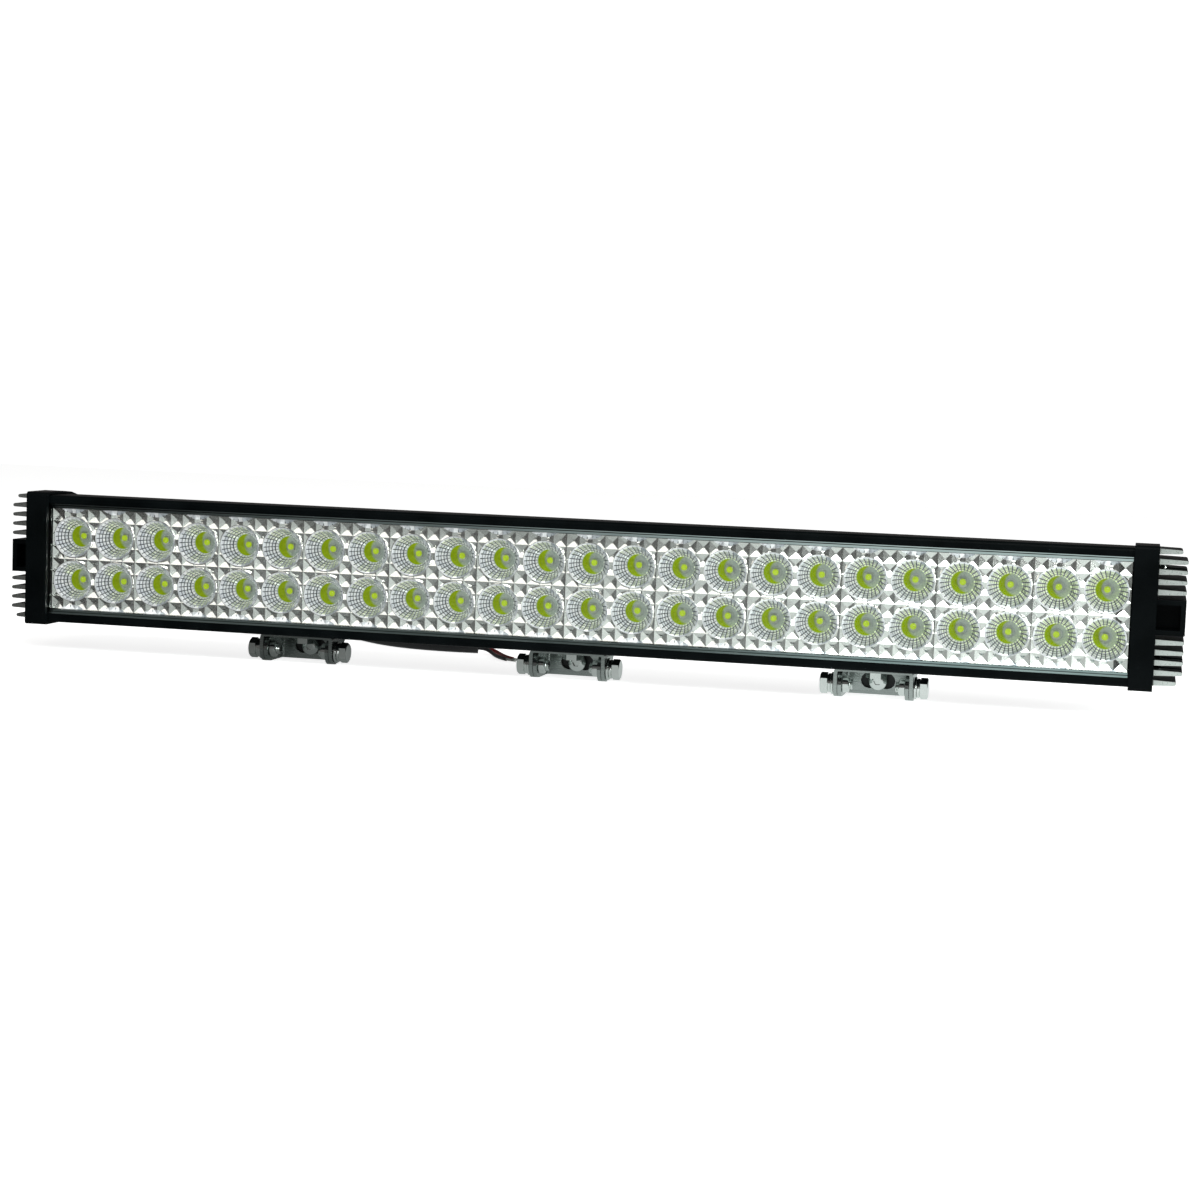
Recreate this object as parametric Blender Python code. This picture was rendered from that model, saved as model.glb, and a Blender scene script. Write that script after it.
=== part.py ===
"""Double-row LED light bar for trucks and trailers, with three sliding, tilting foot brackets.

Metres, +Z up. X runs along the bar and -Y is the side that lights. The bar stands on its three
feet on the plane z = 0, and the origin is under the middle of the bar and its end caps.
"""

import math

import bmesh
import bpy
from mathutils import Vector

MM = 0.001
GAP = 0.3 * MM

# Light panel
MODULE_COUNT = 12
MODULE_PITCH = 50.0 * MM
MODULE_HEIGHT = 57.1 * MM
LED_PITCH = 25.0 * MM
BOWL_RADIUS = 11.3 * MM
BOWL_VERTEX_DEPTH = 23.8 * MM
BOWL_ROW_DEPTHS = (6.5 * MM, 11.0 * MM, 15.5 * MM, 19.5 * MM, 22.7 * MM)
TILE_FRONT = 7.0 * MM
TILE_BACK = 23.0 * MM
BOARD_FRONT = 23.3 * MM
PANEL_LENGTH = MODULE_COUNT * MODULE_PITCH

# Housing section: depths are counted back from the front face of the end caps
HOUSING_HALF_HEIGHT = 36.1 * MM
HOUSING_FRONT = 3.0 * MM
HOUSING_REAR = 60.0 * MM
TOP_FLAT_DEPTH = 24.0 * MM
BOTTOM_FLAT_DEPTH = 44.0 * MM
TOP_CURVE_DROP = 24.0 * MM
BOTTOM_CURVE_DROP = 18.0 * MM
ARC_STEPS = 7
ROUND_SIDES = 12
LIP_INNER_HALF = 31.5 * MM
LIP_DEPTH = 11.0 * MM
CAVITY_HALF_HEIGHT = 29.0 * MM
CAVITY_DEPTH = 25.2 * MM
CHAMBER = (28.4 * MM, 39.4 * MM)
CHAMBER_HALF_HEIGHT = 12.0 * MM
REAR_FIN_PITCH = 5.3 * MM
REAR_SLOT_HEIGHT = 3.1 * MM
REAR_SLOT_COUNT = 9
REAR_SLOT_FLOOR = 42.6 * MM

# End caps
COLLAR_HALF_HEIGHT = 37.6 * MM
COLLAR_REAR = 62.0 * MM
COLLAR_INNER_X = PANEL_LENGTH / 2 + 0.6 * MM
CAP_WALL_INNER_X = 309.5 * MM
CAP_WALL_OUTER_X = 313.0 * MM
FIN_TIP_X = 328.0 * MM
FIN_FRONT_DEPTH = 14.0 * MM
FIN_PITCH = 5.3 * MM
FIN_ROOT = 3.0 * MM
FIN_TIP = 2.0 * MM
FINS_EACH_SIDE = 5
BLOCK_HALF_HEIGHT = 9.2 * MM
BLOCK_POCKET_DEPTH = 24.0 * MM
OUTER_FIN_SHORTER = 3.0 * MM
CAP_SCREW_DEPTH = 31.0 * MM
CAP_SCREW_HALF_SPACING = 24.9 * MM

# Bracket hardware, M6
SHEET = 2.0 * MM
STRIP_HALF = 7.0 * MM
PIVOT_DEPTH = 24.0 * MM
T_SLOT_DEPTH = 33.0 * MM
FOOT_WEB_DEPTH = 43.0 * MM
FOOT_HALF_WIDTH = 19.0 * MM
CLAMP_FRONT_DEPTH = 17.0 * MM
CLAMP_REAR_DEPTH = 41.0 * MM
SHANK_RADIUS = 3.0 * MM
HOLE_RADIUS = SHANK_RADIUS + GAP
HEX_ACROSS_FLATS = 10.0 * MM
HEX_HEAD_HEIGHT = 4.0 * MM
NUT_HEIGHT = 4.8 * MM
COLLAR_NUT_RADIUS = 4.7 * MM
COLLAR_NUT_LENGTH = 3.6 * MM
PLATE_HALF_LENGTH = 9.2 * MM
PLATE_HALF_HEIGHT = 5.2 * MM
PLATE_THICKNESS = 1.5 * MM
SLOT_HALF_LENGTH = 9.4 * MM
SLOT_HALF_HEIGHT = 4.3 * MM
SLOT_CENTRE_Z = 7.5 * MM
BUTTON_HEAD_RADIUS = 5.25 * MM
BUTTON_HEAD_HEIGHT = 3.0 * MM
BRACKETS = {"left": -156.5 * MM, "centre": 0.0, "right": 168.0 * MM}

# Heights above the standing surface
PIVOT_Z = STRIP_HALF
CLAMP_WEB_Z = 2 * STRIP_HALF + GAP
HOUSING_BOTTOM_Z = CLAMP_WEB_Z + SHEET + GAP
AXIS_Z = HOUSING_BOTTOM_Z + HOUSING_HALF_HEIGHT

# Cable
CABLE_RADIUS = 3.5 * MM
CORE_RADIUS = 1.15 * MM
GLAND_X = -235.0 * MM
GLAND_END_DEPTH = 66.0 * MM
CABLE_ROUTE = [
    (-0.2350, 0.0353, 0.0527),
    (-0.2350, 0.0480, 0.0522),
    (-0.2348, 0.0620, 0.0485),
    (-0.2342, 0.0760, 0.0400),
    (-0.2332, 0.0885, 0.0275),
    (-0.2315, 0.1000, 0.0150),
    (-0.2288, 0.1110, 0.0066),
    (-0.2240, 0.1222, 0.0037),
    (-0.2160, 0.1325, 0.0037),
    (-0.2050, 0.1392, 0.0037),
    (-0.1910, 0.1400, 0.0037),
    (-0.1770, 0.1335, 0.0037),
    (-0.1645, 0.1232, 0.0037),
    (-0.1530, 0.1120, 0.0037),
    (-0.1410, 0.1020, 0.0037),
    (-0.1290, 0.0950, 0.0037),
    (-0.1160, 0.0905, 0.0037),
    (-0.1025, 0.0885, 0.0037),
    (-0.0900, 0.0885, 0.0037),
    (-0.0790, 0.0900, 0.0037),
]
RED_ROUTE = [
    (-0.0786, 0.0914, 0.0037),
    (-0.0730, 0.0912, 0.0032),
    (-0.0672, 0.0870, 0.0022),
    (-0.0620, 0.0800, 0.0014),
    (-0.0568, 0.0710, 0.0013),
    (-0.0500, 0.0620, 0.0013),
    (-0.0425, 0.0565, 0.0013),
]
BLACK_ROUTE = [
    (-0.0784, 0.0887, 0.0037),
    (-0.0735, 0.0878, 0.0032),
    (-0.0692, 0.0836, 0.0022),
    (-0.0650, 0.0765, 0.0014),
    (-0.0602, 0.0680, 0.0013),
    (-0.0533, 0.0590, 0.0013),
    (-0.0455, 0.0530, 0.0013),
]
ROUTE_STEPS = 2


def y_at(depth):
    """The world Y of a depth behind the front face of the end caps."""
    return depth - COLLAR_REAR / 2


def clear_scene():
    for obj in list(bpy.data.objects):
        bpy.data.objects.remove(obj)


def material(name, colour, roughness, metallic=0.0):
    mat = bpy.data.materials.new(name)
    mat.use_nodes = True
    shader = mat.node_tree.nodes["Principled BSDF"]
    shader.inputs["Base Color"].default_value = (*colour, 1)
    shader.inputs["Roughness"].default_value = roughness
    shader.inputs["Metallic"].default_value = metallic
    return mat


def add_object(name, bm, mat=None, location=(0, 0, 0)):
    """The bmesh as a named object with outward faces, smooth except at its sharp edges."""
    bmesh.ops.recalc_face_normals(bm, faces=bm.faces)
    mesh = bpy.data.meshes.new(name)
    bm.to_mesh(mesh)
    bm.free()
    mesh.shade_smooth()
    mesh.set_sharp_from_angle(angle=math.radians(35))
    obj = bpy.data.objects.new(name, mesh)
    obj.location = location
    bpy.context.scene.collection.objects.link(obj)
    if mat:
        mesh.materials.append(mat)
    return obj


def add_prism(bm, outline, axis, low, high):
    """Extrudes an outline along an axis: its points are (y, z) for X, (x, z) for Y, (x, y) for Z."""
    place = {
        "X": lambda u, v, w: (w, u, v),
        "Y": lambda u, v, w: (u, w, v),
        "Z": lambda u, v, w: (u, v, w),
    }[axis]
    start = [bm.verts.new(place(u, v, low)) for u, v in outline]
    end = [bm.verts.new(place(u, v, high)) for u, v in outline]
    bm.faces.new(start)
    bm.faces.new(end)
    for i in range(len(outline)):
        j = (i + 1) % len(outline)
        bm.faces.new((start[i], start[j], end[j], end[i]))


def add_box(bm, low, high):
    outline = [(low[0], low[1]), (high[0], low[1]), (high[0], high[1]), (low[0], high[1])]
    add_prism(bm, outline, "Z", low[2], high[2])


def circle(centre, radius, sides, turn=0.0):
    angles = [turn + 2 * math.pi * i / sides for i in range(sides)]
    return [(centre[0] + radius * math.cos(a), centre[1] + radius * math.sin(a)) for a in angles]


def arc(centre, radius_u, radius_v, first, last, steps):
    """Points of an elliptic arc between two angles in degrees."""
    angles = [math.radians(first + (last - first) * i / steps) for i in range(steps + 1)]
    return [(centre[0] + radius_u * math.cos(a), centre[1] + radius_v * math.sin(a)) for a in angles]


def prism(name, outline, axis, low, high, mat=None, location=(0, 0, 0)):
    bm = bmesh.new()
    add_prism(bm, outline, axis, low, high)
    return add_object(name, bm, mat, location)


def keep_place(obj, parent):
    """Parents an object without moving it."""
    bpy.context.view_layer.update()
    obj.parent = parent
    obj.matrix_parent_inverse = parent.matrix_world.inverted()


def join_with(obj, other, operation):
    """Adds a Boolean with another object, which becomes a hidden helper."""
    modifier = obj.modifiers.new(operation.lower(), "BOOLEAN")
    modifier.operation = operation
    modifier.solver = "EXACT"
    modifier.object = other
    other.hide_render = True
    other.display_type = "WIRE"
    keep_place(other, obj)
    return obj


def add_turned(bm, profile, axis, sides, centre=(0, 0, 0)):
    """A solid of revolution: profile is (distance along the axis, radius), both ends closed."""
    place = {
        "X": lambda w, u, v: Vector((w, u, v)),
        "Y": lambda w, u, v: Vector((u, w, v)),
        "Z": lambda w, u, v: Vector((u, v, w)),
    }[axis]
    rings = []
    for along, radius in profile:
        points = circle((0, 0), radius, sides)
        rings.append([bm.verts.new(place(along, u, v) + Vector(centre)) for u, v in points])
    for ring, following in zip(rings, rings[1:]):
        for i in range(sides):
            j = (i + 1) % sides
            bm.faces.new((ring[i], ring[j], following[j], following[i]))
    bm.faces.new(rings[0])
    bm.faces.new(rings[-1])


def turned(name, profile, axis, sides, mat=None, location=(0, 0, 0)):
    bm = bmesh.new()
    add_turned(bm, profile, axis, sides)
    return add_object(name, bm, mat, location)


def section(front, half_height, rear):
    """The D-shaped outline in depth and height that the housing and its end caps share."""
    top = arc(
        (TOP_FLAT_DEPTH, half_height - TOP_CURVE_DROP),
        rear - TOP_FLAT_DEPTH,
        TOP_CURVE_DROP,
        90,
        0,
        ARC_STEPS,
    )
    bottom = arc(
        (BOTTOM_FLAT_DEPTH, BOTTOM_CURVE_DROP - half_height),
        rear - BOTTOM_FLAT_DEPTH,
        BOTTOM_CURVE_DROP,
        0,
        -90,
        ARC_STEPS,
    )
    corner = 1.8 * MM
    front_bottom = arc((front + corner, corner - half_height), corner, corner, -90, -180, 3)
    front_top = arc((front + corner, half_height - corner), corner, corner, 180, 90, 3)
    points = top + bottom + front_bottom + front_top
    return [(y_at(depth), AXIS_Z + height) for depth, height in points]


def rectangle(low_depth, high_depth, low_z, high_z):
    return [
        (y_at(low_depth), low_z),
        (y_at(high_depth), low_z),
        (y_at(high_depth), high_z),
        (y_at(low_depth), high_z),
    ]


def cut_gland_seat(housing):
    """Mills a round seat through the rear fins and bores the chamber wall for the cable."""
    seat = turned(
        "gland_seat_cutter",
        [(y_at(41.0 * MM), 12.5 * MM), (y_at(70.0 * MM), 12.5 * MM)],
        "Y",
        24,
        location=(GLAND_X, 0, AXIS_Z),
    )
    join_with(housing, seat, "DIFFERENCE")


def make_housing(mat):
    half = CAP_WALL_INNER_X - 1.5 * MM
    past = half + 5 * MM
    outline = section(HOUSING_FRONT, HOUSING_HALF_HEIGHT, HOUSING_REAR)
    housing = prism("housing", outline, "X", -half, half, mat)
    bm = bmesh.new()
    mouth = [
        (y_at(-5 * MM), AXIS_Z - LIP_INNER_HALF),
        (y_at(LIP_DEPTH), AXIS_Z - LIP_INNER_HALF),
        (y_at(LIP_DEPTH), AXIS_Z - CAVITY_HALF_HEIGHT),
        (y_at(CAVITY_DEPTH), AXIS_Z - CAVITY_HALF_HEIGHT),
        (y_at(CAVITY_DEPTH), AXIS_Z + CAVITY_HALF_HEIGHT),
        (y_at(LIP_DEPTH), AXIS_Z + CAVITY_HALF_HEIGHT),
        (y_at(LIP_DEPTH), AXIS_Z + LIP_INNER_HALF),
        (y_at(-5 * MM), AXIS_Z + LIP_INNER_HALF),
    ]
    add_prism(bm, mouth, "X", -past, past)
    chamber = rectangle(*CHAMBER, AXIS_Z - CHAMBER_HALF_HEIGHT, AXIS_Z + CHAMBER_HALF_HEIGHT)
    add_prism(bm, chamber, "X", -past, past)
    for i in range(REAR_SLOT_COUNT):
        z = AXIS_Z + (i - (REAR_SLOT_COUNT - 1) / 2) * REAR_FIN_PITCH
        slot = rectangle(REAR_SLOT_FLOOR, 70 * MM, z - REAR_SLOT_HEIGHT / 2, z + REAR_SLOT_HEIGHT / 2)
        add_prism(bm, slot, "X", -past, past)
    t_slot = [
        (T_SLOT_DEPTH - 3.6 * MM, HOUSING_BOTTOM_Z - 5 * MM),
        (T_SLOT_DEPTH + 3.6 * MM, HOUSING_BOTTOM_Z - 5 * MM),
        (T_SLOT_DEPTH + 3.6 * MM, HOUSING_BOTTOM_Z + 2.2 * MM),
        (T_SLOT_DEPTH + 6.0 * MM, HOUSING_BOTTOM_Z + 2.2 * MM),
        (T_SLOT_DEPTH + 6.0 * MM, HOUSING_BOTTOM_Z + 6.8 * MM),
        (T_SLOT_DEPTH - 6.0 * MM, HOUSING_BOTTOM_Z + 6.8 * MM),
        (T_SLOT_DEPTH - 6.0 * MM, HOUSING_BOTTOM_Z + 2.2 * MM),
        (T_SLOT_DEPTH - 3.6 * MM, HOUSING_BOTTOM_Z + 2.2 * MM),
    ]
    add_prism(bm, [(y_at(depth), z) for depth, z in t_slot], "X", -past, past)
    join_with(housing, add_object("housing_cutter", bm), "DIFFERENCE")
    cut_gland_seat(housing)
    return housing


def fin_outline(z, tip_x):
    """One end-cap fin seen from the front: thick at its root, with a rounded tip."""
    root_x = CAP_WALL_OUTER_X - 1.5 * MM
    tip = arc((tip_x - FIN_TIP / 2, z), FIN_TIP / 2, FIN_TIP / 2, 90, -90, 4)
    return [(root_x, z - FIN_ROOT / 2), (root_x, z + FIN_ROOT / 2)] + tip


def add_end_block(bm):
    """The block between the fins: solid at the rear, with a pocket in its front."""
    inner = BLOCK_HALF_HEIGHT - 2.6 * MM
    root_x = CAP_WALL_OUTER_X - 1.5 * MM
    web_x = FIN_TIP_X - 2.6 * MM
    outline = [
        (root_x, AXIS_Z - BLOCK_HALF_HEIGHT),
        (FIN_TIP_X, AXIS_Z - BLOCK_HALF_HEIGHT),
        (FIN_TIP_X, AXIS_Z + BLOCK_HALF_HEIGHT),
        (root_x, AXIS_Z + BLOCK_HALF_HEIGHT),
        (root_x, AXIS_Z + inner),
        (web_x, AXIS_Z + inner),
        (web_x, AXIS_Z - inner),
        (root_x, AXIS_Z - inner),
    ]
    add_prism(bm, outline, "Y", y_at(FIN_FRONT_DEPTH), y_at(COLLAR_REAR + 2 * MM))
    low = (root_x, y_at(BLOCK_POCKET_DEPTH), AXIS_Z - BLOCK_HALF_HEIGHT + 1 * MM)
    high = (FIN_TIP_X - 1 * MM, y_at(COLLAR_REAR + 1 * MM), AXIS_Z + BLOCK_HALF_HEIGHT - 1 * MM)
    add_box(bm, low, high)


def make_end_cap(name, side, mat):
    """A collar round the housing's end, its end wall, and the fins that stand out of the wall."""
    outline = section(0.0, COLLAR_HALF_HEIGHT, COLLAR_REAR)
    if side > 0:
        span = (COLLAR_INNER_X, CAP_WALL_OUTER_X)
        pocket = (COLLAR_INNER_X - 5 * MM, CAP_WALL_INNER_X)
    else:
        span = (-CAP_WALL_OUTER_X, -COLLAR_INNER_X)
        pocket = (-CAP_WALL_INNER_X, -COLLAR_INNER_X + 5 * MM)
    cap = prism(name, outline, "X", *span, mat)
    inside = section(HOUSING_FRONT - GAP, HOUSING_HALF_HEIGHT + GAP, HOUSING_REAR + GAP)
    join_with(cap, prism(name + "_pocket", inside, "X", *pocket), "DIFFERENCE")

    bm = bmesh.new()
    add_end_block(bm)
    for i in range(1, FINS_EACH_SIDE + 1):
        tip_x = FIN_TIP_X - (OUTER_FIN_SHORTER if i == FINS_EACH_SIDE else 0)
        for sign in (-1, 1):
            z = AXIS_Z + sign * (BLOCK_HALF_HEIGHT - FIN_ROOT / 2 + i * FIN_PITCH)
            add_prism(bm, fin_outline(z, tip_x), "Y", y_at(FIN_FRONT_DEPTH), y_at(COLLAR_REAR + 2 * MM))
    if side < 0:
        bmesh.ops.scale(bm, vec=(-1, 1, 1), verts=bm.verts)
    fins = add_object(name + "_fins", bm)
    inset = section(GAP, COLLAR_HALF_HEIGHT - GAP, COLLAR_REAR - GAP)
    reach = FIN_TIP_X + 5 * MM
    join_with(fins, prism(name + "_trim", inset, "X", -reach, reach), "INTERSECT")
    fins.modifiers[-1].use_self = True
    join_with(cap, fins, "UNION")

    bm = bmesh.new()
    for sign in (-1, 1):
        well = circle((y_at(CAP_SCREW_DEPTH), AXIS_Z + sign * CAP_SCREW_HALF_SPACING), 4.6 * MM, ROUND_SIDES)
        add_prism(bm, well, "X", CAP_WALL_OUTER_X - 0.5 * MM, FIN_TIP_X + 5 * MM)
    if side < 0:
        bmesh.ops.scale(bm, vec=(-1, 1, 1), verts=bm.verts)
    join_with(cap, add_object(name + "_wells", bm), "DIFFERENCE")
    return cap


def make_cap_screws(mat):
    """Socket-head screws that sit in the round wells of the end caps."""
    for side, side_name in ((-1, "left"), (1, "right")):
        for sign, level in ((1, "top"), (-1, "bottom")):
            start = side * (CAP_WALL_OUTER_X - 0.5 * MM + GAP)
            name = f"end_cap_screw_{side_name}_{level}"
            place = (start, y_at(CAP_SCREW_DEPTH), AXIS_Z + sign * CAP_SCREW_HALF_SPACING)
            profile = [(0, 3.5 * MM), (side * 3.4 * MM, 3.5 * MM), (side * 4.0 * MM, 3.0 * MM)]
            screw = turned(name, profile, "X", ROUND_SIDES, mat, place)
            socket = circle((0, 0), 1.8 * MM, 6)
            depth = sorted((side * 1.8 * MM, side * 6 * MM))
            join_with(screw, prism(name + "_socket", socket, "X", *depth, location=place), "DIFFERENCE")


def make_end_gasket(name, side, mat):
    """A flat rubber sheet between the housing's end and the end cap's wall."""
    outline = section(HOUSING_FRONT + 1 * MM, HOUSING_HALF_HEIGHT - 1 * MM, HOUSING_REAR - 1 * MM)
    inner = CAP_WALL_INNER_X - 1.2 * MM
    outer = CAP_WALL_INNER_X - GAP
    span = (inner, outer) if side > 0 else (-outer, -inner)
    return prism(name, outline, "X", *span, mat)


def make_front_cover(mat):
    half = PANEL_LENGTH / 2
    bm = bmesh.new()
    height = MODULE_HEIGHT / 2
    low = (-half, y_at(4.6 * MM), AXIS_Z - height)
    high = (half, y_at(6.1 * MM), AXIS_Z + height)
    add_box(bm, low, high)
    return add_object("front_cover", bm, mat)


def make_bezel_strip(name, sign, mat):
    """The strip that closes the gap between the housing's lip and the panel."""
    outer = LIP_INNER_HALF - GAP
    inner = MODULE_HEIGHT / 2 + GAP
    outline = [
        (y_at(3.3 * MM), AXIS_Z + sign * outer),
        (y_at(4.6 * MM), AXIS_Z + sign * inner),
        (y_at(LIP_DEPTH - GAP), AXIS_Z + sign * inner),
        (y_at(LIP_DEPTH - GAP), AXIS_Z + sign * outer),
    ]
    half = PANEL_LENGTH / 2 + 0.2 * MM
    return prism(name, outline, "X", -half, half, mat)


def bowl_radius(depth):
    """The radius of a bowl's paraboloid at a depth."""
    return BOWL_RADIUS * math.sqrt((BOWL_VERTEX_DEPTH - depth) / (BOWL_VERTEX_DEPTH - TILE_FRONT))


def make_reflector_module(index, mat):
    """A square tile with four reflector bowls, each open at its floor for an LED."""
    name = f"reflector_module_{index + 1:02d}"
    centre = ((index - (MODULE_COUNT - 1) / 2) * MODULE_PITCH, 0, 0)
    half_x = MODULE_PITCH / 2 - 0.15 * MM
    half_z = MODULE_HEIGHT / 2 - 0.1 * MM
    bm = bmesh.new()
    low = (-half_x, y_at(TILE_FRONT), AXIS_Z - half_z)
    high = (half_x, y_at(TILE_BACK), AXIS_Z + half_z)
    add_box(bm, low, high)
    tile = add_object(name, bm, mat, location=centre)
    profile = [(y_at(depth), bowl_radius(depth)) for depth in BOWL_ROW_DEPTHS]
    profile.append((y_at(TILE_BACK + 1 * MM), profile[-1][1]))
    cutters = bmesh.new()
    for x in (-LED_PITCH / 2, LED_PITCH / 2):
        for z in (-LED_PITCH / 2, LED_PITCH / 2):
            add_turned(cutters, profile, "Y", ROUND_SIDES, (x, 0, AXIS_Z + z))
    return join_with(tile, add_object(name + "_bowls", cutters, location=centre), "DIFFERENCE")


def make_led_board(mat):
    """The circuit board with one square emitter behind each bowl."""
    half = PANEL_LENGTH / 2 - 1 * MM
    half_z = MODULE_HEIGHT / 2 - 0.5 * MM
    bm = bmesh.new()
    front = BOARD_FRONT
    back = CAVITY_DEPTH - GAP
    add_box(bm, (-half, y_at(front), AXIS_Z - half_z), (half, y_at(back), AXIS_Z + half_z))
    board = add_object("led_board", bm, mat)
    bm = bmesh.new()
    size = 1.75 * MM
    for i in range(2 * MODULE_COUNT):
        x = (i - MODULE_COUNT + 0.5) * LED_PITCH
        for z in (AXIS_Z - LED_PITCH / 2, AXIS_Z + LED_PITCH / 2):
            low = (x - size, y_at(front - 1.6 * MM), z - size)
            high = (x + size, y_at(front + 0.8 * MM), z + size)
            add_box(bm, low, high)
    join_with(board, add_object("led_emitters", bm), "UNION")
    return board


def make_led_driver(mat):
    """The driver lies in the chamber behind the board, close to the cable gland."""
    bm = bmesh.new()
    low_depth, high_depth = CHAMBER
    low = (-290 * MM, y_at(low_depth + 0.8 * MM), AXIS_Z - CHAMBER_HALF_HEIGHT + 1 * MM)
    high = (-120 * MM, y_at(high_depth - 0.8 * MM), AXIS_Z + CHAMBER_HALF_HEIGHT - 1 * MM)
    add_box(bm, low, high)
    return add_object("led_driver", bm, mat)


def make_cable_gland(mat):
    """A hex-based gland whose nose tapers down to the cable."""
    start = y_at(41.0 * MM) + GAP
    end = y_at(GLAND_END_DEPTH)
    profile = [
        (start, 8.0 * MM),
        (start + 9 * MM, 8.0 * MM),
        (start + 10 * MM, 7.4 * MM),
        (start + 16 * MM, 7.2 * MM),
        (start + 19 * MM, 5.6 * MM),
        (end, 4.6 * MM),
    ]
    gland = turned("cable_gland", profile, "Y", ROUND_SIDES, mat, (GLAND_X, 0, AXIS_Z))
    flats = circle((0, 0), 10.4 * MM, 6)
    place = (GLAND_X, 0, AXIS_Z)
    hex_base = prism("cable_gland_flats", flats, "Y", start + 1 * MM, start + 7 * MM, location=place)
    return join_with(gland, hex_base, "UNION")


def smooth_route(route, steps):
    """Points of a Catmull-Rom curve through the route, with extra ones between each pair."""
    points = [Vector(p) for p in route]
    padded = [2 * points[0] - points[1]] + points + [2 * points[-1] - points[-2]]
    result = []
    for a, b, c, d in zip(padded, padded[1:], padded[2:], padded[3:]):
        for i in range(steps):
            t = i / steps
            first = 2 * b + (c - a) * t
            second = (2 * a - 5 * b + 4 * c - d) * t * t
            third = (3 * b - a - 3 * c + d) * t * t * t
            result.append((first + second + third) / 2)
    return result + [points[-1]]


def make_cord(name, route, radius, resolution, mat, steps):
    curve = bpy.data.curves.new(name, "CURVE")
    curve.dimensions = "3D"
    curve.bevel_depth = radius
    curve.bevel_resolution = resolution
    curve.use_fill_caps = True
    points = smooth_route(route, steps)
    spline = curve.splines.new("POLY")
    spline.points.add(len(points) - 1)
    for point, place in zip(spline.points, points):
        point.co = (*place, 1)
    obj = bpy.data.objects.new(name, curve)
    bpy.context.scene.collection.objects.link(obj)
    curve.materials.append(mat)
    return obj


def side_outline(nose_radius, rear_depth, top, slope_from=None):
    """The side view of a bracket, in depth and height about its pivot: round nose, straight back."""
    nose = arc((0, 0), nose_radius, nose_radius, 180, 270, 6)
    rear = rear_depth - PIVOT_DEPTH
    if slope_from is None:
        back = [(rear, -nose_radius), (rear, top)]
        front = arc((0, 0), nose_radius, nose_radius, 90, 180, 6)[:-1]
        return nose + back + front
    back = arc((0, 0), nose_radius, nose_radius, 280, 340, 4)
    return nose + back + [(rear, slope_from), (rear, top), (-nose_radius, top)]


def bent_strip(half_width, reach, thickness, bend):
    """A U in plan with rounded bends: open at u = -reach, its web's outer face at v = 0."""
    outer = half_width
    inner = half_width - thickness
    small = bend - thickness
    outline = [(-outer, -reach)]
    outline += arc((-outer + bend, -bend), bend, bend, 180, 90, 4)
    outline += arc((outer - bend, -bend), bend, bend, 90, 0, 4)
    outline += [(outer, -reach), (inner, -reach)]
    outline += arc((inner - small, -bend), small, small, 0, 90, 3)
    outline += arc((-inner + small, -bend), small, small, 90, 180, 3)
    outline += [(-inner, -reach)]
    return outline


def slot_outline(centre_z):
    run = SLOT_HALF_LENGTH - SLOT_HALF_HEIGHT
    right = arc((run, centre_z), SLOT_HALF_HEIGHT, SLOT_HALF_HEIGHT, -90, 90, 6)
    left = arc((-run, centre_z), SLOT_HALF_HEIGHT, SLOT_HALF_HEIGHT, 90, 270, 6)
    return right + left


def make_foot(name, place, mat):
    """The foot bracket: a bent strip whose rear web carries the fixing slot, tilting on the pivot."""
    web_rear = FOOT_WEB_DEPTH + SHEET - PIVOT_DEPTH
    outline = bent_strip(FOOT_HALF_WIDTH, 40 * MM, SHEET, 3.2 * MM)
    plan = [(x, y + web_rear) for x, y in outline]
    foot = prism(name, plan, "Z", -STRIP_HALF, STRIP_HALF, mat, place)
    side = side_outline(STRIP_HALF, FOOT_WEB_DEPTH + SHEET + 5 * MM, STRIP_HALF)
    wide = FOOT_HALF_WIDTH + 5 * MM
    join_with(foot, prism(name + "_side", side, "X", -wide, wide, location=place), "INTERSECT")
    bm = bmesh.new()
    add_prism(bm, circle((0, 0), HOLE_RADIUS, ROUND_SIDES), "X", -wide, wide)
    web = FOOT_WEB_DEPTH - PIVOT_DEPTH
    slot = slot_outline(SLOT_CENTRE_Z - PIVOT_Z)
    add_prism(bm, slot, "Y", web - 3 * MM, web + SHEET + 3 * MM)
    return join_with(foot, add_object(name + "_holes", bm, location=place), "DIFFERENCE")


def make_clamp(name, place, mat):
    """The clamp bracket: an inverted U under the housing, held by the bolt in the T-slot."""
    top = CLAMP_WEB_Z + SHEET - PIVOT_Z
    outline = bent_strip(FOOT_HALF_WIDTH + GAP + SHEET, 35 * MM, SHEET, 2.8 * MM)
    front_view = [(x, z + top) for x, z in outline]
    low = CLAMP_FRONT_DEPTH - PIVOT_DEPTH
    high = CLAMP_REAR_DEPTH - PIVOT_DEPTH
    clamp = prism(name, front_view, "Y", low - 2 * MM, high + 2 * MM, mat, place)
    side = side_outline(STRIP_HALF, CLAMP_REAR_DEPTH, top + 2 * MM, top - SHEET - 1.0 * MM)
    wide = FOOT_HALF_WIDTH + 10 * MM
    join_with(clamp, prism(name + "_side", side, "X", -wide, wide, location=place), "INTERSECT")
    bm = bmesh.new()
    add_prism(bm, circle((0, 0), HOLE_RADIUS, ROUND_SIDES), "X", -wide, wide)
    bolt = (0, T_SLOT_DEPTH - PIVOT_DEPTH)
    add_prism(bm, circle(bolt, HOLE_RADIUS, ROUND_SIDES), "Z", 2 * MM, top + 5 * MM)
    return join_with(clamp, add_object(name + "_holes", bm, location=place), "DIFFERENCE")


def hexagon():
    return circle((0, 0), HEX_ACROSS_FLATS / 2 / math.cos(math.pi / 6), 6, math.pi / 6)


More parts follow.
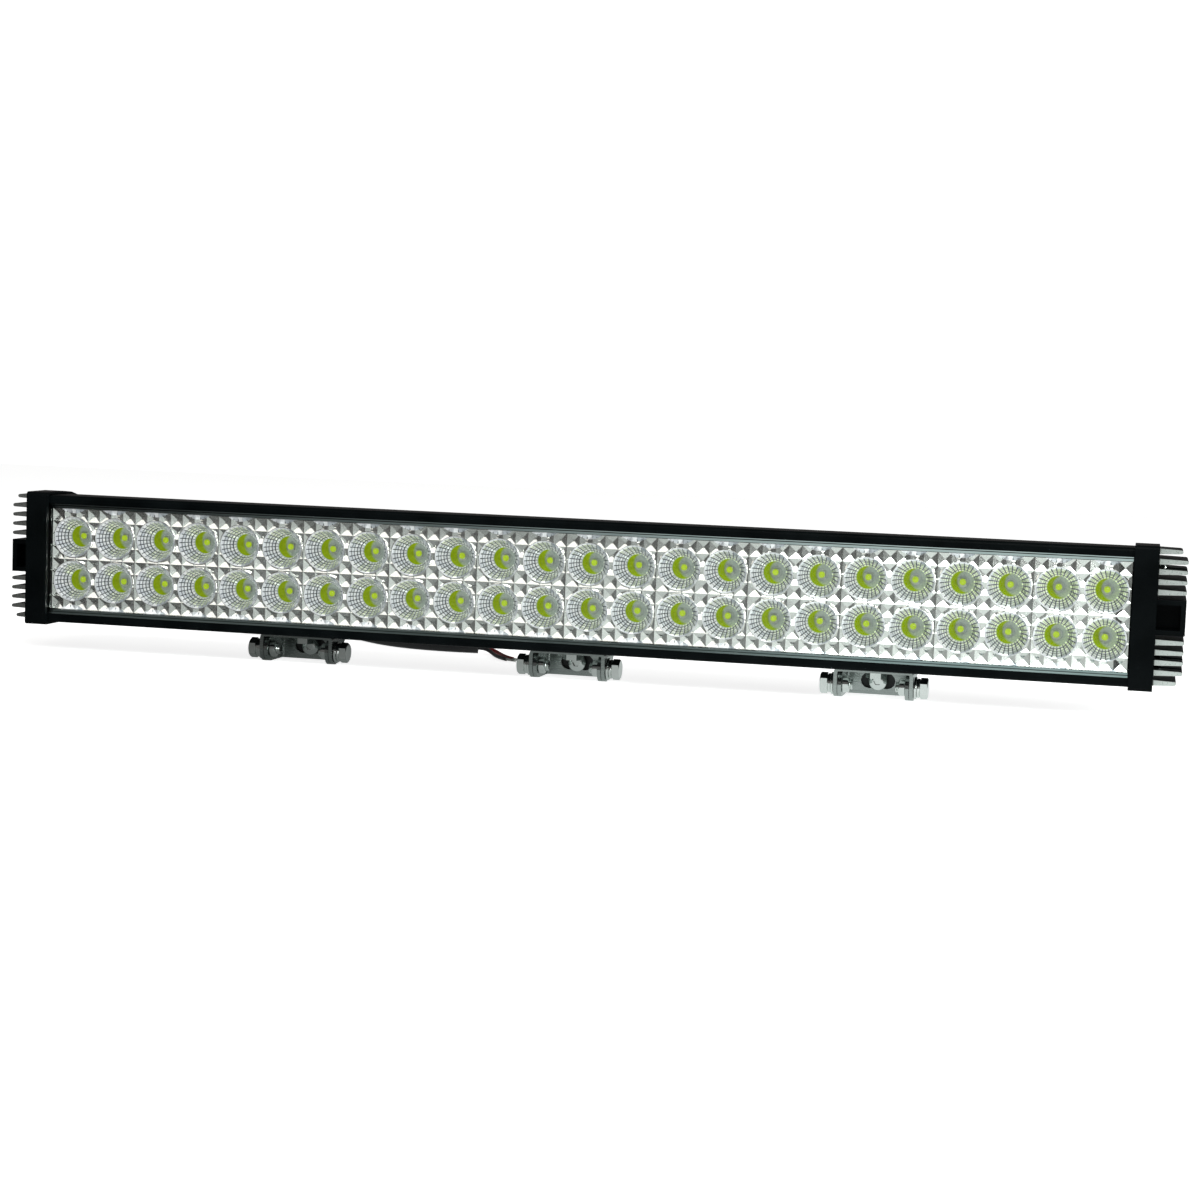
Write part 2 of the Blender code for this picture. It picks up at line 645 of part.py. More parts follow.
def make_pivot_bolt(name, place, side, mat):
    """M6 hex bolt along X with its flat and spring washers, entering from outside the ears."""
    ear_face = FOOT_HALF_WIDTH + GAP + SHEET + GAP
    tip = 11.5 * MM
    profile = [
        (tip, SHANK_RADIUS - 0.5 * MM),
        (tip + 0.6 * MM, SHANK_RADIUS),
        (ear_face, SHANK_RADIUS),
        (ear_face, 6.0 * MM),
        (ear_face + 1.3 * MM, 6.0 * MM),
        (ear_face + 1.3 * MM, 4.6 * MM),
        (ear_face + 1.6 * MM, 5.2 * MM),
        (ear_face + 3.0 * MM, 5.2 * MM),
        (ear_face + 3.3 * MM, 4.7 * MM),
        (ear_face + 3.8 * MM, 4.7 * MM),
    ]
    bolt = turned(name, [(side * along, r) for along, r in profile], "X", ROUND_SIDES, mat, place)
    head = sorted((side * (ear_face + 3.3 * MM), side * (ear_face + 3.3 * MM + HEX_HEAD_HEIGHT)))
    return join_with(bolt, prism(name + "_head", hexagon(), "X", *head, location=place), "UNION")


def make_pivot_nut(name, place, side, mat):
    """A round threaded collar on the inside of the foot's ear."""
    outer = FOOT_HALF_WIDTH - SHEET - GAP
    profile = [
        (outer, COLLAR_NUT_RADIUS),
        (outer - COLLAR_NUT_LENGTH + 1 * MM, COLLAR_NUT_RADIUS),
        (outer - COLLAR_NUT_LENGTH, COLLAR_NUT_RADIUS - 0.8 * MM),
    ]
    nut = turned(name, [(side * along, r) for along, r in profile], "X", ROUND_SIDES, mat, place)
    span = sorted((side * (outer - 10 * MM), side * (outer + 3 * MM)))
    bore = prism(name + "_bore", circle((0, 0), HOLE_RADIUS, ROUND_SIDES), "X", *span, location=place)
    return join_with(nut, bore, "DIFFERENCE")


def make_slot_nut(name, place, mat):
    """A hex nut with an oblong plate washer that covers the slot from behind."""
    face = y_at(FOOT_WEB_DEPTH) + SHEET + GAP
    low = face + PLATE_THICKNESS
    bm = bmesh.new()
    add_box(bm, (-PLATE_HALF_LENGTH, face, -PLATE_HALF_HEIGHT), (PLATE_HALF_LENGTH, low, PLATE_HALF_HEIGHT))
    plate = add_object(name, bm, mat, place)
    nut = prism(name + "_hex", hexagon(), "Y", low - 0.5 * MM, low + NUT_HEIGHT, location=place)
    join_with(plate, nut, "UNION")
    bore = circle((0, 0), HOLE_RADIUS, ROUND_SIDES)
    hole = prism(name + "_bore", bore, "Y", face - 3 * MM, low + 9 * MM, location=place)
    return join_with(plate, hole, "DIFFERENCE")


def make_clamp_bolt(name, place, mat):
    """M6 hex bolt from below, up through the clamp into the T-nut."""
    head_top = CLAMP_WEB_Z - GAP
    head_low = head_top - HEX_HEAD_HEIGHT
    tip = HOUSING_BOTTOM_Z + 6.3 * MM
    head = prism(name, circle((0, 0), 5.77 * MM, 6), "Z", head_low, head_top, mat, place)
    profile = [
        (head_top - 1.5 * MM, SHANK_RADIUS),
        (tip - 0.6 * MM, SHANK_RADIUS),
        (tip, SHANK_RADIUS - 0.5 * MM),
    ]
    return join_with(head, turned(name + "_shank", profile, "Z", ROUND_SIDES, location=place), "UNION")


def make_t_nut(name, place, mat):
    low = HOUSING_BOTTOM_Z + 2.2 * MM + GAP
    bm = bmesh.new()
    add_box(bm, (-7 * MM, -5.6 * MM, low), (7 * MM, 5.6 * MM, low + 3.8 * MM))
    nut = add_object(name, bm, mat, place)
    bore = prism(name + "_bore", circle((0, 0), HOLE_RADIUS, ROUND_SIDES), "Z", low - MM, low + 6 * MM, location=place)
    return join_with(nut, bore, "DIFFERENCE")


def make_slot_bolt(name, place, mat):
    """M6 button-head bolt through the foot's slot, its head on the pivot side."""
    face = y_at(FOOT_WEB_DEPTH) - GAP
    tip = y_at(FOOT_WEB_DEPTH) + 10.5 * MM
    profile = [
        (face - BUTTON_HEAD_HEIGHT, 2.6 * MM),
        (face - BUTTON_HEAD_HEIGHT + 0.6 * MM, 4.0 * MM),
        (face - BUTTON_HEAD_HEIGHT + 1.5 * MM, 4.9 * MM),
        (face - BUTTON_HEAD_HEIGHT + 2.3 * MM, BUTTON_HEAD_RADIUS),
        (face, BUTTON_HEAD_RADIUS),
        (face, SHANK_RADIUS),
        (tip - 0.6 * MM, SHANK_RADIUS),
        (tip, SHANK_RADIUS - 0.5 * MM),
    ]
    return turned(name, profile, "Y", ROUND_SIDES, mat, place)


def make_bracket(side_name, x, steel):
    """One bracket set; its foot turns about the pivot and the rest slides along the T-slot."""
    pivot = (x, y_at(PIVOT_DEPTH), PIVOT_Z)
    slide = bpy.data.objects.new(f"{side_name}_carriage", None)
    slide.location = pivot
    bpy.context.scene.collection.objects.link(slide)
    bolt_place = (x, y_at(T_SLOT_DEPTH), 0)
    slot_place = (x, 0, SLOT_CENTRE_Z)
    foot = make_foot(f"{side_name}_foot", pivot, steel)
    carried = [
        make_clamp(f"{side_name}_clamp", pivot, steel),
        make_clamp_bolt(f"{side_name}_clamp_bolt", bolt_place, steel),
        make_t_nut(f"{side_name}_t_nut", bolt_place, steel),
        make_pivot_bolt(f"{side_name}_pivot_bolt_1", pivot, -1, steel),
        make_pivot_bolt(f"{side_name}_pivot_bolt_2", pivot, 1, steel),
        make_pivot_nut(f"{side_name}_pivot_nut_1", pivot, -1, steel),
        make_pivot_nut(f"{side_name}_pivot_nut_2", pivot, 1, steel),
        foot,
    ]
    tilted = [
        make_slot_bolt(f"{side_name}_slot_bolt", slot_place, steel),
        make_slot_nut(f"{side_name}_slot_nut", slot_place, steel),
    ]
    for obj in carried:
        keep_place(obj, slide)
    for obj in tilted:
        keep_place(obj, foot)


def main():
    clear_scene()
    black = material("black_anodised", (0.012, 0.014, 0.016), 0.38, 0.6)
    cast = material("black_cast", (0.010, 0.012, 0.013), 0.45, 0.3)
    rubber = material("rubber", (0.010, 0.010, 0.010), 0.8)
    clear = material("clear_cover", (0.90, 0.95, 0.94), 0.05)
    reflector = material("metallised_reflector", (0.75, 0.80, 0.78), 0.12, 0.9)
    board = material("led_board", (0.80, 0.80, 0.76), 0.5)
    driver = material("driver_case", (0.30, 0.31, 0.32), 0.5, 0.8)
    strip = material("bezel_strip", (0.30, 0.36, 0.35), 0.3, 0.9)
    steel = material("stainless_steel", (0.42, 0.45, 0.43), 0.32, 1.0)
    gland = material("gland_plastic", (0.015, 0.015, 0.015), 0.5)
    jacket = material("cable_jacket", (0.012, 0.012, 0.012), 0.55)
    red = material("core_red", (0.50, 0.01, 0.02), 0.4)
    make_housing(black)
    for side, side_name in ((-1, "left"), (1, "right")):
        make_end_cap(f"end_cap_{side_name}", side, cast)
        make_end_gasket(f"end_gasket_{side_name}", side, rubber)
    make_cap_screws(steel)
    make_front_cover(clear)
    make_bezel_strip("bezel_strip_top", 1, strip)
    make_bezel_strip("bezel_strip_bottom", -1, strip)
    for index in range(MODULE_COUNT):
        make_reflector_module(index, reflector)
    make_led_board(board)
    make_led_driver(driver)
    make_cable_gland(gland)
    make_cord("power_cable", CABLE_ROUTE, CABLE_RADIUS, 2, jacket, ROUTE_STEPS)
    make_cord("core_red", RED_ROUTE, CORE_RADIUS, 2, red, ROUTE_STEPS)
    make_cord("core_black", BLACK_ROUTE, CORE_RADIUS, 2, jacket, ROUTE_STEPS)
    for side_name, x in BRACKETS.items():
        make_bracket(side_name, x, steel)


main()
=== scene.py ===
"""The looks of the LED light bar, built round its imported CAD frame.

Metres, +Z up. X runs along the bar, -Y is the side that lights, and depths are counted back
from the front face of the end caps, as in the CAD part.
"""

import math

import bmesh
import bpy
from mathutils import Matrix, Vector


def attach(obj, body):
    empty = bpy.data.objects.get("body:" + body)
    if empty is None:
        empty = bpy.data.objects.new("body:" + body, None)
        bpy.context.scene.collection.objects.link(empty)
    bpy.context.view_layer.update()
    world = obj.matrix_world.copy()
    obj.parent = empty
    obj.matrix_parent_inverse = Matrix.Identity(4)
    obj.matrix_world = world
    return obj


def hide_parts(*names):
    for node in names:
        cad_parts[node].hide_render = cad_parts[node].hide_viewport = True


MM = 0.001
AXIS_Z = 52.7 * MM
FRONT_Y = -31.0 * MM

# Light panel
MODULE_COUNT = 12
MODULE_PITCH = 50.0 * MM
TILE_HALF_X = 24.85 * MM
TILE_HALF_Z = 28.45 * MM
TILE_FRONT = 7.0 * MM
TILE_BACK = 23.0 * MM
LED_PITCH = 25.0 * MM
CELLS_X = 7
CELLS_Z = 8
CELL_DEPTH = 1.5 * MM
CELL_FLOOR = 0.5 * MM
BOWL_RADIUS = 11.3 * MM
BOWL_VERTEX_DEPTH = 23.8 * MM
BRICKS_END_DEPTH = 18.5 * MM
MIRROR_END_DEPTH = 22.7 * MM
MIRROR_ROWS = 9
MIRROR_SIDES = 72
BRICK_RINGS = 5
BRICK_SECTORS = 26
BRICK_SLOPE_WIDTH = 0.58 * MM
BRICK_HEIGHT = 0.50 * MM
RIM_WIDTH = 0.4 * MM
DOME_RADIUS = 2.6 * MM
PHOSPHOR_RADIUS = 1.7 * MM
# Where the phosphor's reflection is painted into each core
PAINTED_REFLECTION_SHIFT = (3.0 * MM, 0.6 * MM)
PAINTED_REFLECTION_RADIUS = 5.7 * MM
PAINTED_REFLECTION_START_DEPTH = 18.9 * MM
EMITTER_FRONT = 21.7 * MM
STRIP_LINE_Z = 83.1 * MM
LOW_STRIP_LINE_Z = 22.7 * MM

# End cap fins
FIN_START_X = 313.2 * MM
FIN_BLOCK_HALF_HEIGHT = 10.0 * MM
# Depth to which the fin fronts carry a painted highlight
FIN_HIGHLIGHT_DEPTH = 15.0 * MM

# Hardware, M6
SIDES = 48
SHANK_RADIUS = 3.0 * MM
THREAD_DEPTH = 0.45 * MM
THREAD_PITCH = 1.0 * MM
HEX_ACROSS_FLATS = 10.0 * MM
NUT_BORE = 3.15 * MM
NUT_HALF_HEIGHT = 2.4 * MM
REAR_NUT_Y = 18.2 * MM
PLATE_HALF_LENGTH = 10.0 * MM
PLATE_HALF_HEIGHT = 5.2 * MM
PLATE_CORNER = 2.0 * MM
PLATE_FRONT_Y = 14.3 * MM
PLATE_THICKNESS = 1.5 * MM
PLATE_POINTS = 32
EAR_FACE = 21.6 * MM
PIVOT_Y = -7.0 * MM
PIVOT_Z = 7.0 * MM
SLOT_Z = 7.5 * MM
BRACKETS = {"left": -156.5 * MM, "centre": 0.0, "right": 168.0 * MM}

# Cable
GLAND_X = -235.0 * MM
CABLE_RADIUS = 3.5 * MM
CORE_RADIUS = 1.15 * MM
STRAND_RADIUS = 0.16 * MM
STRAND_COUNT = 10
STRAND_STEPS = 8
STRAND_SIDES = 8
STRAND_OVERLAP = 1.0 * MM
CABLE_ROUTE = [
    (-0.2350, 0.0353, 0.0527),
    (-0.2350, 0.0480, 0.0522),
    (-0.2348, 0.0620, 0.0485),
    (-0.2342, 0.0760, 0.0400),
    (-0.2332, 0.0885, 0.0275),
    (-0.2315, 0.1000, 0.0150),
    (-0.2288, 0.1110, 0.0066),
    (-0.2240, 0.1222, 0.0037),
    (-0.2160, 0.1325, 0.0037),
    (-0.2050, 0.1392, 0.0037),
    (-0.1910, 0.1400, 0.0037),
    (-0.1770, 0.1335, 0.0037),
    (-0.1645, 0.1232, 0.0037),
    (-0.1530, 0.1120, 0.0037),
    (-0.1410, 0.1020, 0.0037),
    (-0.1290, 0.0950, 0.0037),
    (-0.1160, 0.0905, 0.0037),
    (-0.1025, 0.0885, 0.0037),
    (-0.0900, 0.0885, 0.0037),
    (-0.0790, 0.0900, 0.0037),
]
RED_ROUTE = [
    (-0.0786, 0.0914, 0.0037),
    (-0.0730, 0.0912, 0.0032),
    (-0.0672, 0.0870, 0.0022),
    (-0.0620, 0.0800, 0.0014),
    (-0.0568, 0.0710, 0.0013),
    (-0.0500, 0.0620, 0.0013),
    (-0.0425, 0.0565, 0.0013),
]
BLACK_ROUTE = [
    (-0.0784, 0.0887, 0.0037),
    (-0.0735, 0.0878, 0.0032),
    (-0.0692, 0.0836, 0.0022),
    (-0.0650, 0.0765, 0.0014),
    (-0.0602, 0.0680, 0.0013),
    (-0.0533, 0.0590, 0.0013),
    (-0.0455, 0.0530, 0.0013),
]
ROUTE_STEPS = 8

# Surfaces
NOISE_MIDDLE = (0.3, 0.7)
GRAIN_DEPTH = 0.05 * MM

# Camera
CAMERA_PLACE = (0.30583, -1.31486, 0.16115)
CAMERA_AZIMUTH = math.radians(12.50)
CAMERA_ELEVATION = math.radians(4.968)
CAMERA_ROLL = math.radians(2.097)
CAMERA_LENS = 73.63
CAMERA_SENSOR = 36

# Studio
BACKDROP_RADIUS = 8.0
CARD_Z = -0.5 * MM
CARD_SPLIT_Y = -0.25
LIGHT_TARGET = (0.05, 0, 0.05)


def y_at(depth):
    """The world Y of a depth behind the front face of the end caps."""
    return depth + FRONT_Y


# ---------------------------------------------------------------- materials


def node_material(name):
    """A new material, its node tree and its Principled shader."""
    mat = bpy.data.materials.new(name)
    mat.use_nodes = True
    return mat, mat.node_tree, mat.node_tree.nodes["Principled BSDF"]


def noise(tree, scale, detail, stretch=(1, 1, 1)):
    """Noise in the object's own space."""
    coords = tree.nodes.new("ShaderNodeTexCoord")
    mapping = tree.nodes.new("ShaderNodeMapping")
    mapping.inputs["Scale"].default_value = stretch
    texture = tree.nodes.new("ShaderNodeTexNoise")
    texture.inputs["Scale"].default_value = scale
    texture.inputs["Detail"].default_value = detail
    tree.links.new(coords.outputs["Object"], mapping.inputs["Vector"])
    tree.links.new(mapping.outputs["Vector"], texture.inputs["Vector"])
    return texture


def ramp(tree, source, low, high):
    """A colour between two, over the middle of a noise's range."""
    node = tree.nodes.new("ShaderNodeValToRGB")
    for element, position, colour in zip(node.color_ramp.elements, NOISE_MIDDLE, (low, high)):
        element.position = position
        element.color = (*colour, 1)
    tree.links.new(source, node.inputs["Fac"])
    return node.outputs["Color"]


def span(tree, source, low, high):
    """A number between two, over the middle of a noise's range."""
    node = tree.nodes.new("ShaderNodeMapRange")
    node.inputs["From Min"].default_value = NOISE_MIDDLE[0]
    node.inputs["From Max"].default_value = NOISE_MIDDLE[1]
    node.inputs["To Min"].default_value = low
    node.inputs["To Max"].default_value = high
    tree.links.new(source, node.inputs["Value"])
    return node.outputs["Result"]


def math_node(tree, operation, first, second=None, third=None):
    """A maths node whose inputs are sockets or numbers."""
    node = tree.nodes.new("ShaderNodeMath")
    node.operation = operation
    for index, value in enumerate((first, second, third)):
        if value is None:
            continue
        if isinstance(value, (int, float)):
            node.inputs[index].default_value = value
        else:
            tree.links.new(value, node.inputs[index])
    return node.outputs["Value"]


def step(tree, value, start, end):
    """Rises from 0 to 1 as the value goes from start to end."""
    node = tree.nodes.new("ShaderNodeMapRange")
    node.inputs["From Min"].default_value = start
    node.inputs["From Max"].default_value = end
    tree.links.new(value, node.inputs["Value"])
    return node.outputs["Result"]


def mixed(tree, factor, first, second):
    """A colour between two, each a socket or a plain colour."""
    node = tree.nodes.new("ShaderNodeMix")
    node.data_type = "RGBA"
    tree.links.new(factor, node.inputs["Factor"])
    for name, value in (("A", first), ("B", second)):
        if isinstance(value, tuple):
            node.inputs[name].default_value = (*value, 1)
        else:
            tree.links.new(value, node.inputs[name])
    return node.outputs["Result"]


def place_parts(tree):
    """The object's own X, Y and Z at the shaded point."""
    coords = tree.nodes.new("ShaderNodeTexCoord")
    split = tree.nodes.new("ShaderNodeSeparateXYZ")
    tree.links.new(coords.outputs["Object"], split.inputs["Vector"])
    return split.outputs["X"], split.outputs["Y"], split.outputs["Z"]


def length_node(tree, first, second):
    """The length of a vector from its two parts."""
    squares = [math_node(tree, "MULTIPLY", part, part) for part in (first, second)]
    return math_node(tree, "SQRT", math_node(tree, "ADD", *squares))


def press_grain(tree, shader, height, strength):
    """Presses a fine grain into a surface."""
    bump = tree.nodes.new("ShaderNodeBump")
    bump.inputs["Strength"].default_value = strength
    bump.inputs["Distance"].default_value = GRAIN_DEPTH
    tree.links.new(height, bump.inputs["Height"])
    tree.links.new(bump.outputs["Normal"], shader.inputs["Normal"])


def grained(name, colours, roughness, metallic, scale, stretch=(1, 1, 1), bump=0.0, specular=0.5):
    """A surface whose colour and roughness drift, with a fine grain pressed into it."""
    mat, tree, shader = node_material(name)
    wide = noise(tree, scale * 0.04, 3, stretch)
    fine = noise(tree, scale, 4, stretch)
    shader.inputs["Metallic"].default_value = metallic
    shader.inputs["Specular IOR Level"].default_value = specular
    tree.links.new(ramp(tree, wide.outputs["Fac"], *colours), shader.inputs["Base Color"])
    tree.links.new(span(tree, fine.outputs["Fac"], *roughness), shader.inputs["Roughness"])
    if bump:
        press_grain(tree, shader, fine.outputs["Fac"], bump)
    return mat


def clear_sheet(name, tint, head_on):
    """A thin clear skin: it mirrors a share of the light that grows as the light grazes either face."""
    mat, tree, shader = node_material(name)
    through = tree.nodes.new("ShaderNodeBsdfTransparent")
    through.inputs["Color"].default_value = (*tint, 1)
    slant = tree.nodes.new("ShaderNodeLayerWeight").outputs["Facing"]
    grazing = math_node(tree, "POWER", slant, 5.0)
    mirrored = math_node(tree, "MULTIPLY_ADD", grazing, 1.0 - head_on, head_on)
    haze = noise(tree, 300, 3)
    mix = tree.nodes.new("ShaderNodeMixShader")
    shader.inputs["Base Color"].default_value = (0.9, 0.95, 0.94, 1)
    shader.inputs["Metallic"].default_value = 1.0
    tree.links.new(span(tree, haze.outputs["Fac"], 0.02, 0.06), shader.inputs["Roughness"])
    tree.links.new(mirrored, mix.inputs["Fac"])
    tree.links.new(through.outputs["BSDF"], mix.inputs[1])
    tree.links.new(shader.outputs["BSDF"], mix.inputs[2])
    tree.links.new(mix.outputs["Shader"], tree.nodes["Material Output"].inputs["Surface"])
    return mat


def glowing(name, colours, strength, scale):
    """A pigment with a painted glow: it gives off a little light of its own colour that stands in for light
    falling on it.
    """
    mat, tree, shader = node_material(name)
    fine = noise(tree, scale, 3)
    colour = ramp(tree, fine.outputs["Fac"], *colours)
    tree.links.new(colour, shader.inputs["Base Color"])
    tree.links.new(colour, shader.inputs["Emission Color"])
    shader.inputs["Emission Strength"].default_value = strength
    tree.links.new(span(tree, fine.outputs["Fac"], 0.35, 0.5), shader.inputs["Roughness"])
    return mat


def cap_material():
    """Black cast metal, except that the front edges of the fins are painted bright metal: a painted
    highlight.
    """
    mat, tree, shader = node_material("cast_black")
    x, y, z = place_parts(tree)
    blend = 0.6 * MM
    outside = step(tree, math_node(tree, "ABSOLUTE", x), FIN_START_X, FIN_START_X + blend)
    off_axis = math_node(tree, "ABSOLUTE", math_node(tree, "SUBTRACT", z, AXIS_Z))
    above_block = step(tree, off_axis, FIN_BLOCK_HALF_HEIGHT, FIN_BLOCK_HALF_HEIGHT + blend)
    off_block = math_node(tree, "MULTIPLY", outside, above_block)
    in_front = step(tree, y, y_at(FIN_HIGHLIGHT_DEPTH + blend), y_at(FIN_HIGHLIGHT_DEPTH))
    fins = math_node(tree, "MULTIPLY", off_block, in_front)
    wide = noise(tree, 40, 3)
    fine = noise(tree, 1100, 4)
    black = ramp(tree, wide.outputs["Fac"], (0.0010, 0.0016, 0.0018), (0.0026, 0.0036, 0.0040))
    # Painted highlight: the fin fronts are coloured bright metal
    metal = ramp(tree, fine.outputs["Fac"], (0.78, 0.84, 0.80), (0.92, 0.96, 0.93))
    tree.links.new(mixed(tree, fins, black, metal), shader.inputs["Base Color"])
    tree.links.new(fins, shader.inputs["Metallic"])
    tree.links.new(span(tree, fine.outputs["Fac"], 0.26, 0.38), shader.inputs["Roughness"])
    press_grain(tree, shader, fine.outputs["Fac"], 0.25)
    shader.inputs["Specular IOR Level"].default_value = 0.04
    return mat


def bowl_parts(tree):
    """Position across and up from the nearest bowl's axis, and the object Y."""
    x, y, z = place_parts(tree)
    parts = []
    for value, centre in ((x, 0.0), (z, AXIS_Z)):
        moved = math_node(tree, "ADD", value, 2 * LED_PITCH - centre)
        wrapped = math_node(tree, "FLOORED_MODULO", moved, LED_PITCH)
        parts.append(math_node(tree, "SUBTRACT", wrapped, LED_PITCH / 2))
    return parts[0], parts[1], y


def brick_pattern(tree, u, v, y):
    """Painted shade in the grooves between the bricks, and a random brightness for each brick that stands
    in for its reflection.
    """
    rings_per_metre = BRICK_RINGS / (BRICKS_END_DEPTH - TILE_FRONT)
    turn = math_node(tree, "MULTIPLY", math_node(tree, "ARCTAN2", v, u), BRICK_SECTORS / (2 * math.pi))
    depth = math_node(tree, "SUBTRACT", y, y_at(TILE_FRONT))
    down = math_node(tree, "MULTIPLY", depth, rings_per_metre)
    below_edge = step(tree, down, 0.15, 0.3)
    # Painted shade along the grooves between the rings and the sectors
    groove_shade = []
    for value, start in ((turn, 0.35), (down, 0.39)):
        across = math_node(tree, "SUBTRACT", math_node(tree, "FRACT", value), 0.5)
        off_middle = math_node(tree, "ABSOLUTE", across)
        groove_shade.append(math_node(tree, "MULTIPLY", step(tree, off_middle, start, 0.48), below_edge))
    # A random value per brick that sets its painted reflection brightness
    place = tree.nodes.new("ShaderNodeCombineXYZ")
    tree.links.new(math_node(tree, "FLOOR", turn), place.inputs["X"])
    tree.links.new(math_node(tree, "FLOOR", down), place.inputs["Y"])
    glint_chance = tree.nodes.new("ShaderNodeTexWhiteNoise")
    tree.links.new(place.outputs["Vector"], glint_chance.inputs["Vector"])
    return math_node(tree, "MAXIMUM", *groove_shade), glint_chance.outputs["Value"]


def reflector_material():
    """Bright metallising, with painted shade between the bricks, painted light and reflections on them, the
    phosphor's reflection painted into one side of each core, and a painted glow.
    """
    mat, tree, shader = node_material("metallised_painted_light")
    u, v, y = bowl_parts(tree)
    in_bowl = step(tree, length_node(tree, u, v), BOWL_RADIUS + 0.25 * MM, BOWL_RADIUS + 0.1 * MM)
    deep = step(tree, y, y_at(BRICKS_END_DEPTH - 0.05 * MM), y_at(BRICKS_END_DEPTH + 0.15 * MM))
    core = math_node(tree, "MULTIPLY", deep, in_bowl)
    # Painted reflection: past a depth, a disc set off to one side of each core is painted yellow as the
    # phosphor's reflection
    du = math_node(tree, "SUBTRACT", u, PAINTED_REFLECTION_SHIFT[0])
    dv = math_node(tree, "SUBTRACT", v, PAINTED_REFLECTION_SHIFT[1])
    aside = step(tree, length_node(tree, du, dv), PAINTED_REFLECTION_RADIUS - 0.3 * MM, PAINTED_REFLECTION_RADIUS + 0.8 * MM)
    deeper = step(tree, y, y_at(PAINTED_REFLECTION_START_DEPTH), y_at(PAINTED_REFLECTION_START_DEPTH + 0.15 * MM))
    painted_reflection = math_node(tree, "MULTIPLY", math_node(tree, "MULTIPLY", core, deeper), aside)
    groove_shade, glint_chance = brick_pattern(tree, u, v, y)
    wide = noise(tree, 60, 3)
    fine = noise(tree, 900, 3)
    plain = ramp(tree, wide.outputs["Fac"], (0.84, 0.83, 0.81), (0.92, 0.91, 0.89))
    # Painted light and reflection: bricks on the left of each bowl are painted lighter than those on the
    # right, and each brick gets a random brightness that stands in for what it reflects
    lit_side = mixed(tree, glint_chance, (0.62, 0.64, 0.68), (1.0, 0.99, 1.0))
    shaded_side = mixed(tree, glint_chance, (0.30, 0.33, 0.36), (0.96, 0.97, 1.0))
    brick = mixed(tree, step(tree, u, -7 * MM, 6 * MM), lit_side, shaded_side)
    # Painted shade: the grooves between the bricks are painted dark
    brick = mixed(tree, groove_shade, brick, (0.02, 0.03, 0.03))
    grey_green = ramp(tree, fine.outputs["Fac"], (0.30, 0.345, 0.325), (0.44, 0.485, 0.46))
    # Colour of the painted phosphor reflection
    yellow = ramp(tree, fine.outputs["Fac"], (0.24, 0.33, 0.002), (0.31, 0.41, 0.006))
    inside = mixed(tree, core, brick, grey_green)
    colour = mixed(tree, painted_reflection, mixed(tree, in_bowl, plain, inside), yellow)
    tree.links.new(colour, shader.inputs["Base Color"])
    # Painted glow: the tile gives off light of its own colour, faint on the pitted front and stronger from
    # the bricks, the grey-green cores and the painted reflection in the bowls, though it is no lamp
    tree.links.new(mixed(tree, in_bowl, (0.04, 0.037, 0.035), colour), shader.inputs["Emission Color"])
    shader.inputs["Emission Strength"].default_value = 0.32
    dull_bowl = math_node(tree, "MULTIPLY", in_bowl, 0.22)
    dull_core = math_node(tree, "MULTIPLY", core, 0.3)
    dull = math_node(tree, "ADD", dull_bowl, dull_core)
    tree.links.new(math_node(tree, "SUBTRACT", 0.95, dull), shader.inputs["Metallic"])
    tree.links.new(span(tree, fine.outputs["Fac"], 0.10, 0.17), shader.inputs["Roughness"])
    return mat


def strip_material(name, colours, line_z):
    """Bright extruded strip with a dark line drawn along it at one height."""
    mat, tree, shader = node_material(name)
    _, _, z = place_parts(tree)
    along = noise(tree, 900, 4, (0.05, 1, 1))
    off_line = math_node(tree, "ABSOLUTE", math_node(tree, "SUBTRACT", z, line_z))
    metal = ramp(tree, along.outputs["Fac"], *colours)
    off_dark = step(tree, off_line, 0.18 * MM, 0.32 * MM)
    tree.links.new(mixed(tree, off_dark, (0.008, 0.011, 0.011), metal), shader.inputs["Base Color"])
    shader.inputs["Metallic"].default_value = 1.0
    tree.links.new(span(tree, along.outputs["Fac"], 0.16, 0.26), shader.inputs["Roughness"])
    return mat


# ---------------------------------------------------------------- meshes


def mesh_of(name, bm, smooth_degrees=30):
    """The finished mesh, shaded smooth up to an angle, or left flat when that is 0."""
    bmesh.ops.recalc_face_normals(bm, faces=bm.faces)
    mesh = bpy.data.meshes.new(name)
    bm.to_mesh(mesh)
    bm.free()
    if smooth_degrees:
        mesh.shade_smooth()
        mesh.set_sharp_from_angle(angle=math.radians(smooth_degrees))
    return mesh


def add_object(name, data, mat=None, place=(0, 0, 0)):
    obj = bpy.data.objects.new(name, data)
    obj.location = place
    bpy.context.scene.collection.objects.link(obj)
    if mat and not data.materials:
        data.materials.append(mat)
    return obj


def circle(radius, sides, turn=0.0):
    angles = [turn + 2 * math.pi * i / sides for i in range(sides)]
    return [(radius * math.cos(a), radius * math.sin(a)) for a in angles]


def add_turned(bm, profile, axis, sides, centre=(0, 0, 0), turn=0.0):
    """A solid of revolution: profile is (distance along the axis, radius), both ends closed."""
    place = {
        "X": lambda w, u, v: Vector((w, u, v)),
        "Y": lambda w, u, v: Vector((u, w, v)),
        "Z": lambda w, u, v: Vector((u, v, w)),
    }[axis]
    rings = []
    for along, radius in profile:
        points = circle(radius, sides, turn)
        rings.append([bm.verts.new(place(along, u, v) + Vector(centre)) for u, v in points])
    walls = []
    for ring, following in zip(rings, rings[1:]):
        for i in range(sides):
            j = (i + 1) % sides
            walls.append(bm.faces.new((ring[i], ring[j], following[j], following[i])))
    bm.faces.new(rings[0])
    bm.faces.new(rings[-1])
    return walls


